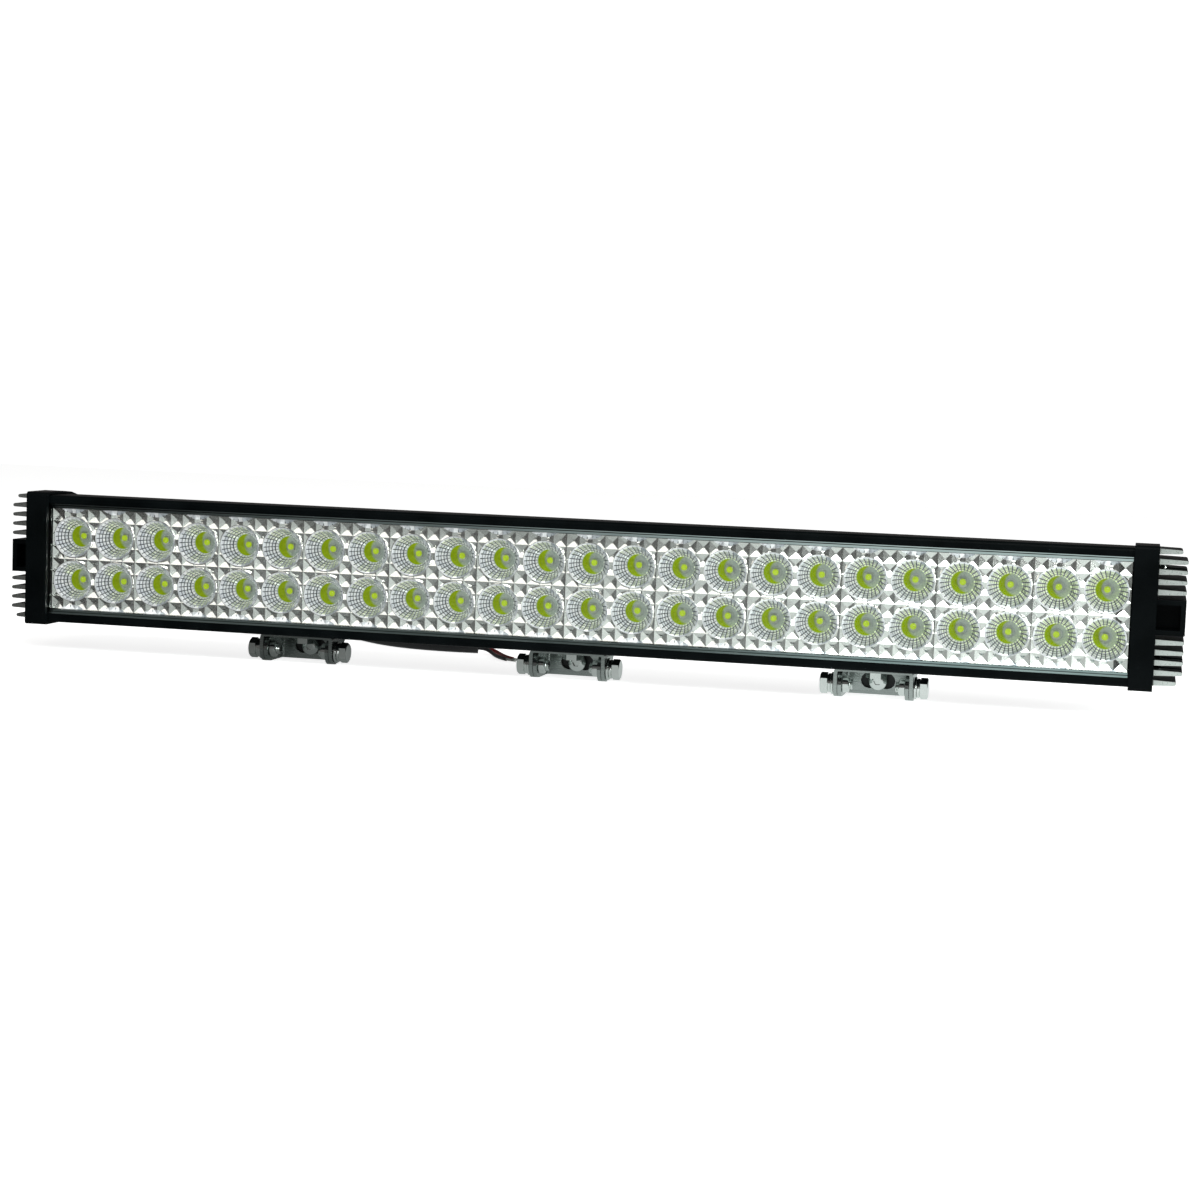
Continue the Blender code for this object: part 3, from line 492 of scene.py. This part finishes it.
def combined(name, base, tools, smooth_degrees):
    """The base mesh after Booleans with the tool meshes, each given as (operation, mesh)."""
    obj = add_object(name + "_base", base)
    helpers = [obj]
    for operation, tool in tools:
        helper = add_object(name + "_tool", tool)
        helpers.append(helper)
        modifier = obj.modifiers.new(operation, "BOOLEAN")
        modifier.operation = operation
        modifier.solver = "EXACT"
        modifier.object = helper
    graph = bpy.context.evaluated_depsgraph_get()
    mesh = bpy.data.meshes.new_from_object(obj.evaluated_get(graph))
    mesh.name = name
    for helper in helpers:
        bpy.data.objects.remove(helper)
    mesh.materials.clear()
    mesh.shade_smooth()
    mesh.set_sharp_from_angle(angle=math.radians(smooth_degrees))
    return mesh


def pyramid_block():
    """The tile as a block whose front is a field of shallow square pits."""
    bm = bmesh.new()
    front = y_at(TILE_FRONT)
    step_x = 2 * TILE_HALF_X / CELLS_X
    step_z = 2 * TILE_HALF_Z / CELLS_Z
    corners = {}
    for i in range(CELLS_X + 1):
        for k in range(CELLS_Z + 1):
            place = (-TILE_HALF_X + i * step_x, front, AXIS_Z - TILE_HALF_Z + k * step_z)
            corners[i, k] = bm.verts.new(place)
    for i in range(CELLS_X):
        for k in range(CELLS_Z):
            x = -TILE_HALF_X + (i + 0.5) * step_x
            z = AXIS_Z - TILE_HALF_Z + (k + 0.5) * step_z
            floor = []
            for u, v in ((-1, -1), (1, -1), (1, 1), (-1, 1)):
                floor.append(bm.verts.new((x + u * CELL_FLOOR, front + CELL_DEPTH, z + v * CELL_FLOOR)))
            rim = [corners[i, k], corners[i + 1, k], corners[i + 1, k + 1], corners[i, k + 1]]
            bm.faces.new(floor)
            for a in range(4):
                b = (a + 1) % 4
                bm.faces.new((rim[a], rim[b], floor[b], floor[a]))
    back = {}
    for u in (0, CELLS_X):
        for v in (0, CELLS_Z):
            place = corners[u, v].co.copy()
            place.y = y_at(TILE_BACK)
            back[u, v] = bm.verts.new(place)
    bm.faces.new((back[0, 0], back[CELLS_X, 0], back[CELLS_X, CELLS_Z], back[0, CELLS_Z]))
    for k in (0, CELLS_Z):
        edge = [corners[i, k] for i in range(CELLS_X + 1)]
        bm.faces.new(edge + [back[CELLS_X, k], back[0, k]])
    for i in (0, CELLS_X):
        edge = [corners[i, k] for k in range(CELLS_Z + 1)]
        bm.faces.new(edge + [back[i, CELLS_Z], back[i, 0]])
    return mesh_of("pyramid_block", bm, 0)


def bowl_radius(depth):
    """The radius of a bowl's paraboloid at a depth."""
    return BOWL_RADIUS * math.sqrt((BOWL_VERTEX_DEPTH - depth) / (BOWL_VERTEX_DEPTH - TILE_FRONT))


def bowl_rows(first, last, count):
    """Distance and radius down a bowl's wall between two depths."""
    depths = [first + (last - first) * i / count for i in range(count + 1)]
    return [(y_at(depth), bowl_radius(depth)) for depth in depths]


def led_places():
    """The four bowls of a tile, as places across and up from its middle."""
    half = LED_PITCH / 2
    return [(x, z) for x in (-half, half) for z in (-half, half)]


def tile_mesh():
    """The pitted tile with four bowls cut in: raised bricks down the wall, then a smooth core."""
    rims = bmesh.new()
    bowls = bmesh.new()
    mirrors = bmesh.new()
    bricks = []
    for x, z in led_places():
        centre = (x, 0, AXIS_Z + z)
        rim = [
            (y_at(TILE_FRONT), BOWL_RADIUS + RIM_WIDTH),
            (y_at(TILE_FRONT + 3 * MM), BOWL_RADIUS + RIM_WIDTH),
        ]
        add_turned(rims, rim, "Y", 2 * BRICK_SECTORS, centre)
        mouth = (y_at(TILE_FRONT - 2 * MM), BOWL_RADIUS)
        rows = bowl_rows(TILE_FRONT, BRICKS_END_DEPTH, BRICK_RINGS)
        walls = add_turned(bowls, [mouth] + rows, "Y", BRICK_SECTORS, centre)
        bricks += walls[BRICK_SECTORS:]
        rows = bowl_rows(BRICKS_END_DEPTH, MIRROR_END_DEPTH, MIRROR_ROWS)
        start = (y_at(BRICKS_END_DEPTH - 0.3 * MM), rows[0][1])
        end = (y_at(TILE_BACK + 1 * MM), rows[-1][1])
        add_turned(mirrors, [start] + rows + [end], "Y", MIRROR_SIDES, centre)
    bmesh.ops.recalc_face_normals(bowls, faces=bowls.faces)
    bmesh.ops.inset_individual(bowls, faces=bricks, thickness=BRICK_SLOPE_WIDTH, depth=-BRICK_HEIGHT)
    tools = [
        ("UNION", mesh_of("rims", rims, 0)),
        ("DIFFERENCE", mesh_of("bowls", bowls, 0)),
        ("DIFFERENCE", mesh_of("mirrors", mirrors, 0)),
    ]
    return combined("reflector_tile", pyramid_block(), tools, 18)


def dome_rows(radius, base, steps):
    """Depth and radius of a dome standing towards the front from its base depth."""
    rows = []
    for i in range(steps + 1):
        angle = math.radians(86.0 * i / steps)
        rows.append((y_at(base - radius * math.sin(angle)), radius * math.cos(angle)))
    return rows


def dome_mesh():
    bm = bmesh.new()
    rows = dome_rows(DOME_RADIUS, EMITTER_FRONT - 0.2 * MM, 10)
    add_turned(bm, [(y_at(EMITTER_FRONT + 0.1 * MM), DOME_RADIUS)] + rows, "Y", SIDES)
    return mesh_of("led_dome", bm)


def phosphor_mesh():
    bm = bmesh.new()
    shape = [(0.1, 1.0), (-0.35, 1.0), (-0.55, 0.8), (-0.65, 0.4)]
    rows = [(y_at(EMITTER_FRONT + out * MM), share * PHOSPHOR_RADIUS) for out, share in shape]
    add_turned(bm, rows, "Y", SIDES)
    return mesh_of("led_phosphor", bm)


def threads(start, end, direction):
    """Rows of a V thread along a shank, from start to end."""
    rows = []
    count = int(abs(end - start) / THREAD_PITCH)
    for i in range(count):
        rows.append((start + direction * i * THREAD_PITCH, SHANK_RADIUS))
        rows.append((start + direction * (i + 0.5) * THREAD_PITCH, SHANK_RADIUS - THREAD_DEPTH))
    return rows


def hex_block(low, high, axis, bore=0.0, domed=True):
    """A hexagonal head or nut with its corners turned off, and a bore when it is a nut."""
    corner = HEX_ACROSS_FLATS / 2 / math.cos(math.pi / 6)
    bm = bmesh.new()
    add_turned(bm, [(low, corner), (high, corner)], axis, 6, turn=math.pi / 6)
    flat = HEX_ACROSS_FLATS / 2 - 0.1 * MM
    chamfer = (corner - flat) * math.tan(math.radians(30))
    if domed:
        rows = [(low, corner + 0.2 * MM), (high - chamfer, corner), (high, flat)]
    else:
        rows = [(low, flat), (low + chamfer, corner), (high - chamfer, corner), (high, flat)]
    turned = bmesh.new()
    add_turned(turned, rows, axis, SIDES)
    tools = [("INTERSECT", mesh_of("turned_off", turned))]
    if bore:
        hole = bmesh.new()
        past = 2 * MM
        rows = [
            (low - past, bore + 0.5 * MM + past),
            (low + 0.5 * MM, bore),
            (high - 0.5 * MM, bore),
            (high + past, bore + 0.5 * MM + past),
        ]
        add_turned(hole, rows, axis, SIDES)
        tools.append(("DIFFERENCE", mesh_of("bore", hole)))
    return combined("hex", mesh_of("hexagon", bm, 0), tools, 25)


def pivot_bolt_mesh():
    """M6 bolt along +X from its pivot, with a flat washer, a spring washer and a hex head."""
    tip = 11.5 * MM
    bm = bmesh.new()
    rows = [(tip, SHANK_RADIUS - 0.6 * MM)] + threads(tip + 0.5 * MM, 17 * MM, 1)
    rows += [(18 * MM, SHANK_RADIUS), (EAR_FACE, SHANK_RADIUS)]
    flat = [(0.0, 5.8), (0.15, 6.0), (1.15, 6.0), (1.3, 5.8)]
    spring = [(1.3, 4.6), (1.45, 5.0), (1.6, 5.2), (2.75, 5.2), (2.95, 5.0), (3.1, 4.6), (3.35, 4.6)]
    rows += [(EAR_FACE + along * MM, radius * MM) for along, radius in flat + spring]
    add_turned(bm, rows, "X", SIDES)
    head = hex_block(EAR_FACE + 3.3 * MM, EAR_FACE + 7.3 * MM, "X")
    return combined("pivot_bolt", mesh_of("shank", bm), [("UNION", head)], 25)


def collar_nut_mesh():
    """A round threaded collar along +X, with a domed inner end."""
    bm = bmesh.new()
    rows = [(16.7, 4.5), (16.5, 4.7), (14.3, 4.7), (13.7, 4.45), (13.3, 3.9), (13.1, 3.4)]
    add_turned(bm, [(along * MM, radius * MM) for along, radius in rows], "X", SIDES)
    bore = bmesh.new()
    add_turned(bore, [(12 * MM, NUT_BORE), (18 * MM, NUT_BORE)], "X", SIDES)
    return combined("collar_nut", mesh_of("collar", bm), [("DIFFERENCE", mesh_of("bore", bore))], 25)


def plate_mesh():
    """An oblong plate washer with rounded corners, behind the foot's slot."""
    half_x = PLATE_HALF_LENGTH - PLATE_CORNER
    half_z = PLATE_HALF_HEIGHT - PLATE_CORNER
    outline = []
    for i in range(PLATE_POINTS):
        angle = 2 * math.pi * (i + 0.5) / PLATE_POINTS
        x = math.copysign(half_x, math.cos(angle)) + PLATE_CORNER * math.cos(angle)
        z = math.copysign(half_z, math.sin(angle)) + PLATE_CORNER * math.sin(angle)
        outline.append((x, z))
    bm = bmesh.new()
    low, high = PLATE_FRONT_Y, PLATE_FRONT_Y + PLATE_THICKNESS
    edge = 0.25 * MM
    rings = []
    for y, share in ((low, 0.97), (low + edge, 1), (high - edge, 1), (high, 0.97)):
        rings.append([bm.verts.new((x * share, y, z * share)) for x, z in outline])
    for ring, following in zip(rings, rings[1:]):
        for i in range(PLATE_POINTS):
            j = (i + 1) % PLATE_POINTS
            bm.faces.new((ring[i], ring[j], following[j], following[i]))
    bm.faces.new(rings[0])
    bm.faces.new(rings[-1])
    bore = bmesh.new()
    add_turned(bore, [(13 * MM, 3.3 * MM), (17 * MM, 3.3 * MM)], "Y", SIDES)
    return combined("plate_washer", mesh_of("plate", bm), [("DIFFERENCE", mesh_of("bore", bore))], 25)


def slot_bolt_mesh():
    """M6 button-head bolt along Y with a hex socket in its head."""
    face = 11.7 * MM
    rows = [
        (face - 3.0 * MM, 2.4 * MM),
        (face - 2.85 * MM, 3.0 * MM),
        (face - 2.5 * MM, 3.8 * MM),
        (face - 2.0 * MM, 4.45 * MM),
        (face - 1.4 * MM, 4.95 * MM),
        (face - 0.8 * MM, 5.2 * MM),
        (face - 0.3 * MM, 5.25 * MM),
        (face, 5.1 * MM),
        (face, SHANK_RADIUS),
    ]
    rows += threads(face + 3 * MM, face + 10.2 * MM, 1)
    rows += [(face + 10.8 * MM, SHANK_RADIUS - 0.6 * MM)]
    bm = bmesh.new()
    add_turned(bm, rows, "Y", SIDES)
    socket = bmesh.new()
    add_turned(socket, [(face - 4 * MM, 2.3 * MM), (face - 1.4 * MM, 2.3 * MM)], "Y", 6)
    return combined("button_bolt", mesh_of("button", bm), [("DIFFERENCE", mesh_of("socket", socket))], 25)


def gland_mesh():
    """A hex-based gland with a fluted dome nut and a nose that tapers in steps onto the cable."""
    start = 10.3 * MM
    bm = bmesh.new()
    rows = [
        (0.0, 8.0),
        (7.5, 8.0),
        (8.0, 8.3),
        (8.4, 8.6),
        (13.6, 8.4),
        (15.0, 7.9),
        (16.2, 7.0),
        (17.0, 6.4),
        (18.0, 6.2),
        (18.3, 5.6),
        (19.2, 5.6),
        (19.5, 6.0),
        (20.3, 5.9),
        (20.6, 5.2),
        (21.4, 5.2),
        (21.7, 5.5),
        (22.5, 5.4),
        (22.8, 4.7),
        (23.6, 4.7),
        (23.9, 4.8),
        (24.6, 4.3),
        (25.2, 3.75),
    ]
    add_turned(bm, [(start + along * MM, radius * MM) for along, radius in rows], "Y", 2 * SIDES)
    flats = bmesh.new()
    edge = [(1.0, 9.8), (1.6, 10.4), (6.4, 10.4), (7.0, 9.8)]
    add_turned(flats, [(start + along * MM, radius * MM) for along, radius in edge], "Y", 6)
    flutes = bmesh.new()
    for i in range(12):
        angle = 2 * math.pi * (i + 0.5) / 12
        centre = (9.3 * MM * math.cos(angle), 0, 9.3 * MM * math.sin(angle))
        add_turned(flutes, [(start + 9.2 * MM, 1.1 * MM), (start + 18 * MM, 1.1 * MM)], "Y", 16, centre)
    tools = [("DIFFERENCE", mesh_of("flutes", flutes)), ("UNION", mesh_of("flats", flats))]
    return combined("gland", mesh_of("gland_turned", bm), tools, 30)


def smooth_route(route, steps):
    """Points of a Catmull-Rom curve through the route, with extra ones between each pair."""
    points = [Vector(p) for p in route]
    padded = [2 * points[0] - points[1]] + points + [2 * points[-1] - points[-2]]
    result = []
    for a, b, c, d in zip(padded, padded[1:], padded[2:], padded[3:]):
        for i in range(steps):
            t = i / steps
            first = 2 * b + (c - a) * t
            second = (2 * a - 5 * b + 4 * c - d) * t * t
            third = (3 * b - a - 3 * c + d) * t * t * t
            result.append((first + second + third) / 2)
    return result + [points[-1]]


def cord_curve(name, points, radius, mat):
    curve = bpy.data.curves.new(name, "CURVE")
    curve.dimensions = "3D"
    curve.bevel_depth = radius
    curve.bevel_resolution = 6
    curve.use_fill_caps = True
    spline = curve.splines.new("POLY")
    spline.points.add(len(points) - 1)
    for point, place in zip(spline.points, points):
        point.co = (*place, 1)
    curve.materials.append(mat)
    obj = bpy.data.objects.new(name, curve)
    bpy.context.scene.collection.objects.link(obj)
    return obj


def strand_mesh(name, start, direction, length):
    """Tinned strands that leave the end of a core, lightly twisted and spread."""
    bm = bmesh.new()
    forward = direction.normalized()
    side = forward.cross(Vector((0, 0, 1))).normalized()
    up = side.cross(forward)
    for i in range(STRAND_COUNT):
        ring = 0.0 if i == 0 else (0.36 if i < 5 else 0.62)
        phase = 2.4 * i
        spread = 1.0 + 0.10 * math.sin(5.0 * i)
        rows = []
        for k in range(STRAND_STEPS + 1):
            along = k / STRAND_STEPS
            angle = phase + 1.6 * along
            reach = ring * MM * (1 + 0.15 * along * spread)
            offset = side * (reach * math.cos(angle)) + up * (reach * math.sin(angle))
            rows.append(start + forward * (length * along * (0.94 + 0.05 * spread)) + offset)
        loops = []
        for row in rows:
            ring_verts = []
            for u, v in circle(STRAND_RADIUS, STRAND_SIDES):
                ring_verts.append(bm.verts.new(row + side * u + up * v))
            loops.append(ring_verts)
        for loop, following in zip(loops, loops[1:]):
            for j in range(STRAND_SIDES):
                m = (j + 1) % STRAND_SIDES
                bm.faces.new((loop[j], loop[m], following[m], following[j]))
        bm.faces.new(loops[0])
        bm.faces.new(loops[-1])
    return mesh_of(name, bm)


# ---------------------------------------------------------------- pieces


def piece(name, mesh, mat, body, replaces=(), place=(0, 0, 0), turn=0.0):
    """One visual piece that rides a body and stands for the CAD nodes it replaces."""
    obj = add_object(name, mesh, mat, place)
    obj.rotation_euler = (0, 0, turn)
    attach(obj, body)
    if replaces:
        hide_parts(*replaces)
    return obj


def make_camera():
    """The camera, aimed by azimuth and elevation and then rolled about its own axis."""
    data = bpy.data.cameras.new("camera")
    data.lens = CAMERA_LENS
    data.sensor_width = CAMERA_SENSOR
    data.clip_start = 0.05
    data.clip_end = 50
    camera = bpy.data.objects.new("camera", data)
    bpy.context.scene.collection.objects.link(camera)
    level = math.cos(CAMERA_ELEVATION)
    forward = Vector(
        (
            -math.sin(CAMERA_AZIMUTH) * level,
            math.cos(CAMERA_AZIMUTH) * level,
            -math.sin(CAMERA_ELEVATION),
        )
    )
    right = forward.cross(Vector((0, 0, 1))).normalized()
    up = right.cross(forward)
    rolled_right = math.cos(CAMERA_ROLL) * right + math.sin(CAMERA_ROLL) * up
    rolled_up = -math.sin(CAMERA_ROLL) * right + math.cos(CAMERA_ROLL) * up
    columns = Matrix((rolled_right, rolled_up, -forward)).transposed()
    camera.matrix_world = Matrix.Translation(CAMERA_PLACE) @ columns.to_4x4()
    bpy.context.scene.camera = camera


def make_cords(jacket, red, black, tinned, gland_plastic):
    place = (GLAND_X, 0, AXIS_Z)
    gland = piece("gland_nut", gland_mesh(), gland_plastic, "bar", ["cable_gland"], place)
    for colour, route, mat in (("red", RED_ROUTE, red), ("black", BLACK_ROUTE, black)):
        points = smooth_route(route, ROUTE_STEPS)
        covered = points[:-ROUTE_STEPS]
        core = cord_curve(f"wire_{colour}", covered, CORE_RADIUS, mat)
        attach(core, "bar")
        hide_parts(f"core_{colour}")
        direction = points[-1] - covered[-1]
        reach = direction.length * 0.98
        start = covered[-1] - STRAND_OVERLAP * direction.normalized()
        mesh = strand_mesh(f"strands_{colour}", start, direction, reach)
        strands = piece(f"wire_{colour}_strands", mesh, tinned, "bar")
    points = smooth_route(CABLE_ROUTE, ROUTE_STEPS)
    cable = cord_curve("cable_jacket", points, CABLE_RADIUS, jacket)
    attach(cable, "bar")
    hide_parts("power_cable")


def make_panel(reflector, phosphor, dome):
    tile = tile_mesh()
    led = phosphor_mesh()
    lens = dome_mesh()
    for index in range(MODULE_COUNT):
        number = f"{index + 1:02d}"
        x = (index - (MODULE_COUNT - 1) / 2) * MODULE_PITCH
        node = f"reflector_module_{number}"
        piece(f"reflector_{number}", tile, reflector, "bar", [node], (x, 0, 0))
        for spot, (u, v) in enumerate(led_places(), 1):
            place = (x + u, 0, AXIS_Z + v)
            piece(f"led_{number}_{spot}", led, phosphor, "bar", place=place)
            piece(f"led_dome_{number}_{spot}", lens, dome, "bar", place=place)


def make_hardware(steel, plate_mat):
    bolt = pivot_bolt_mesh()
    button = slot_bolt_mesh()
    collar = collar_nut_mesh()
    plate = plate_mesh()
    nut = hex_block(-NUT_HALF_HEIGHT, NUT_HALF_HEIGHT, "Y", bore=NUT_BORE, domed=False)
    for side, x in BRACKETS.items():
        carriage = f"{side}_carriage"
        foot = f"{side}_foot_bracket"
        pivot = (x, PIVOT_Y, PIVOT_Z)
        for number, turn in ((1, math.pi), (2, 0.0)):
            for name, mesh, node in (("hex_bolt", bolt, "pivot_bolt"), ("collar_nut", collar, "pivot_nut")):
                replaced = [f"{side}_{node}_{number}"]
                piece(f"{side}_{name}_{number}", mesh, steel, carriage, replaced, pivot, turn)
        slot_place = (x, 0, SLOT_Z)
        slot_nut = [f"{side}_slot_nut"]
        piece(f"{side}_button_bolt", button, steel, foot, [f"{side}_slot_bolt"], slot_place)
        piece(f"{side}_rear_nut", nut, steel, foot, slot_nut, (x, REAR_NUT_Y, SLOT_Z))
        piece(f"{side}_plate_washer", plate, plate_mat, foot, slot_nut, slot_place)


def soften(node, width, mat, segments=2):
    """Rounds a carried-over part's edges a little and gives it its surface."""
    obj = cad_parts[node]
    bevel = obj.modifiers.new("edges", "BEVEL")
    bevel.width = width
    bevel.segments = segments
    bevel.limit_method = "ANGLE"
    bevel.angle_limit = math.radians(40)
    paint(node, mat)


def paint(node, mat):
    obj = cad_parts[node]
    obj.data.materials.clear()
    obj.data.materials.append(mat)


def area_light(name, place, size, power, colour):
    """A rectangular light, turned to the object and not seen by the camera."""
    data = bpy.data.lights.new(name, "AREA")
    data.shape = "RECTANGLE"
    data.size = size[0]
    data.size_y = size[1]
    data.energy = power
    data.color = colour
    light = bpy.data.objects.new(name, data)
    light.location = place
    aim = Vector(LIGHT_TARGET) - Vector(place)
    light.rotation_euler = aim.to_track_quat("-Z", "Y").to_euler()
    light.visible_camera = False
    bpy.context.scene.collection.objects.link(light)


def sheet_mesh(name, points, low_x, high_x):
    """A sheet swept along X through (y, z) points."""
    bm = bmesh.new()
    rows = [(bm.verts.new((low_x, y, z)), bm.verts.new((high_x, y, z))) for y, z in points]
    for first, second in zip(rows, rows[1:]):
        bm.faces.new((first[0], first[1], second[1], second[0]))
    return mesh_of(name, bm, 60)


def ring_mesh(name, radius, low, high, sides):
    """An upright wall all round the studio."""
    bm = bmesh.new()
    columns = []
    for i in range(sides):
        angle = 2 * math.pi * i / sides
        x, y = radius * math.cos(angle), radius * math.sin(angle)
        columns.append((bm.verts.new((x, y, low)), bm.verts.new((x, y, high))))
    for first, second in zip(columns, columns[1:] + columns[:1]):
        bm.faces.new((first[0], second[0], second[1], first[1]))
    return mesh_of(name, bm, 60)


def card_material(name, stops, strength):
    """A card whose light changes along X: stops are (x, brightness) from left to right."""
    mat, tree, shader = node_material(name)
    x, _, _ = place_parts(tree)
    first, last = stops[0][0], stops[-1][0]
    node = tree.nodes.new("ShaderNodeValToRGB")
    elements = node.color_ramp.elements
    while len(elements) < len(stops):
        elements.new(0.5)
    for element, (place, level) in zip(elements, stops):
        element.position = (place - first) / (last - first)
        element.color = (0.93 * level, level, 0.98 * level, 1)
    tree.links.new(step(tree, x, first, last), node.inputs["Fac"])
    shader.inputs["Base Color"].default_value = (0, 0, 0, 1)
    tree.links.new(node.outputs["Color"], shader.inputs["Emission Color"])
    shader.inputs["Emission Strength"].default_value = strength
    return mat


def show_to(obj, camera, glossy, diffuse):
    """Which rays meet a studio sheet."""
    obj.visible_camera = camera
    obj.visible_glossy = glossy
    obj.visible_diffuse = diffuse
    obj.visible_transmission = camera


def white_material(name, base, strength):
    """A matt white that also glows."""
    mat, _, shader = node_material(name)
    shader.inputs["Base Color"].default_value = (base, base, base, 1)
    shader.inputs["Emission Color"].default_value = (1, 1, 1, 1)
    shader.inputs["Emission Strength"].default_value = strength
    shader.inputs["Roughness"].default_value = 0.9
    return mat


def make_card(name, near_y, far_y, low_x, high_x, stops, strength):
    """A glowing sheet just under the floor, met only by mirrored rays."""
    mesh = sheet_mesh(name, [(near_y, CARD_Z), (far_y, CARD_Z)], low_x, high_x)
    card = add_object(name, mesh, card_material(name, stops, strength))
    show_to(card, False, True, False)
    return card


def make_studio():
    white = white_material("studio_white", 0.90, 0.84)
    glow = white_material("backdrop_white", 0.0, 1.2)
    floor = add_object("floor", sheet_mesh("floor", [(-1.3, 0), (2.4, 0)], -2.4, 2.4), white)
    show_to(floor, True, False, True)
    backdrop = add_object("backdrop", ring_mesh("backdrop", BACKDROP_RADIUS, -6.0, 6.0, 64), glow)
    show_to(backdrop, True, False, False)
    backdrop.visible_shadow = False
    near_stops = [(-0.50, 0.0), (-0.27, 0.03), (-0.08, 0.22), (0.15, 0.8), (0.60, 1.0)]
    far_stops = [(-0.60, 0.0), (-0.30, 0.10), (0.10, 0.75), (0.40, 0.75), (0.75, 0.16)]
    near_card = make_card("near_card", CARD_SPLIT_Y, 0.5, -1.2, 1.6, near_stops, 0.95)
    far_card = make_card("far_card", -1.8, CARD_SPLIT_Y, -1.6, 1.8, far_stops, 1.0)
    world = bpy.data.worlds.new("studio")
    world.use_nodes = True
    background = world.node_tree.nodes["Background"]
    background.inputs["Color"].default_value = (1.0, 0.97, 0.95, 1)
    background.inputs["Strength"].default_value = 0.11
    bpy.context.scene.world = world
    bpy.context.scene.view_settings.view_transform = "Standard"
    area_light("key_right", (1.7, -0.45, 0.45), (1.2, 1.1), 34, (0.95, 1.0, 0.98))
    area_light("top_right", (0.45, -1.02, 1.15), (1.1, 0.75), 17, (0.96, 1.0, 0.98))
    area_light("top_left", (-0.55, -1.02, 1.15), (0.85, 0.75), 2.6, (1.0, 0.97, 0.93))


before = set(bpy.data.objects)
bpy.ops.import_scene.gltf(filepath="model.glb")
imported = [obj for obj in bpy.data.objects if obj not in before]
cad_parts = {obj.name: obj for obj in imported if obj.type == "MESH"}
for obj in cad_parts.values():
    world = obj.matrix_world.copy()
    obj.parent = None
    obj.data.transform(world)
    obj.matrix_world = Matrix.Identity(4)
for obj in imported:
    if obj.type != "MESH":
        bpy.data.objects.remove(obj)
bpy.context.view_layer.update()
make_camera()

body_blacks = ((0.0010, 0.0017, 0.0019), (0.0024, 0.0036, 0.0040))
anodised = grained("anodised_black", body_blacks, (0.24, 0.36), 0.0, 1600, bump=0.12, specular=0.045)
cast = cap_material()
strip = strip_material("strip_metal", ((0.42, 0.50, 0.50), (0.55, 0.63, 0.62)), STRIP_LINE_Z)
# Painted shade: the bottom strip is the same metal as the top strip, painted darker
shaded_strip_greys = ((0.030, 0.042, 0.042), (0.060, 0.076, 0.075))
shaded_strip = strip_material("strip_metal_painted_shade", shaded_strip_greys, LOW_STRIP_LINE_Z)
steel_greys = ((0.32, 0.355, 0.345), (0.46, 0.495, 0.48))
steel = grained("stainless", steel_greys, (0.20, 0.32), 1.0, 1200, (0.08, 1, 1), 0.08)
fastener = grained("fastener_steel", ((0.70, 0.74, 0.72), (0.84, 0.87, 0.85)), (0.10, 0.20), 1.0, 1400)
reflector = reflector_material()
rubber = grained("rubber", ((0.008, 0.008, 0.008), (0.02, 0.02, 0.02)), (0.6, 0.8), 0.0, 1500, bump=0.3)
jacket_blacks = ((0.006, 0.007, 0.007), (0.014, 0.014, 0.015))
jacket = grained("cable_pvc", jacket_blacks, (0.32, 0.46), 0.0, 1300, bump=0.2)
red = grained("core_red_pvc", ((0.16, 0.004, 0.008), (0.24, 0.008, 0.012)), (0.26, 0.38), 0.0, 900)
black = grained("core_black_pvc", ((0.006, 0.006, 0.007), (0.016, 0.016, 0.018)), (0.28, 0.40), 0.0, 900)
tinned = grained("tinned_copper", ((0.50, 0.52, 0.50), (0.72, 0.73, 0.70)), (0.22, 0.36), 1.0, 2500)
nylon_blacks = ((0.010, 0.010, 0.011), (0.02, 0.02, 0.021))
nylon = grained("gland_nylon", nylon_blacks, (0.35, 0.5), 0.0, 1200, bump=0.2)
board = grained("board_white", ((0.62, 0.64, 0.60), (0.76, 0.77, 0.72)), (0.35, 0.5), 0.0, 600)
case = grained("driver_metal", ((0.26, 0.28, 0.28), (0.36, 0.37, 0.37)), (0.3, 0.45), 0.9, 800)
# Painted glow on the unlit LED phosphor
phosphor = glowing("phosphor", ((0.36, 0.50, 0.004), (0.46, 0.60, 0.012)), 0.50, 2500)
washer_blacks = ((0.012, 0.014, 0.014), (0.03, 0.034, 0.033))
blackened = grained("blackened_steel", washer_blacks, (0.35, 0.5), 0.4, 1300, bump=0.2)
dome = clear_sheet("dome_silicone", (0.97, 0.99, 0.95), 0.030)
cover = clear_sheet("cover_clear", (0.985, 0.995, 0.99), 0.012)

make_cords(jacket, red, black, tinned, nylon)
make_panel(reflector, phosphor, dome)
make_hardware(fastener, blackened)
soften("housing", 0.35 * MM, anodised)
for side in ("left", "right"):
    soften(f"end_cap_{side}", 0.8 * MM, cast, 3)
    paint(f"end_gasket_{side}", rubber)
    for level in ("top", "bottom"):
        soften(f"end_cap_screw_{side}_{level}", 0.2 * MM, fastener)
soften("bezel_strip_top", 0.2 * MM, strip)
soften("bezel_strip_bottom", 0.2 * MM, shaded_strip)
paint("front_cover", cover)
paint("led_board", board)
soften("led_driver", 0.5 * MM, case)
for side in BRACKETS:
    soften(f"{side}_clamp", 0.3 * MM, steel)
    soften(f"{side}_foot", 0.3 * MM, steel)
    soften(f"{side}_clamp_bolt", 0.25 * MM, fastener)
    soften(f"{side}_t_nut", 0.25 * MM, fastener)
make_studio()
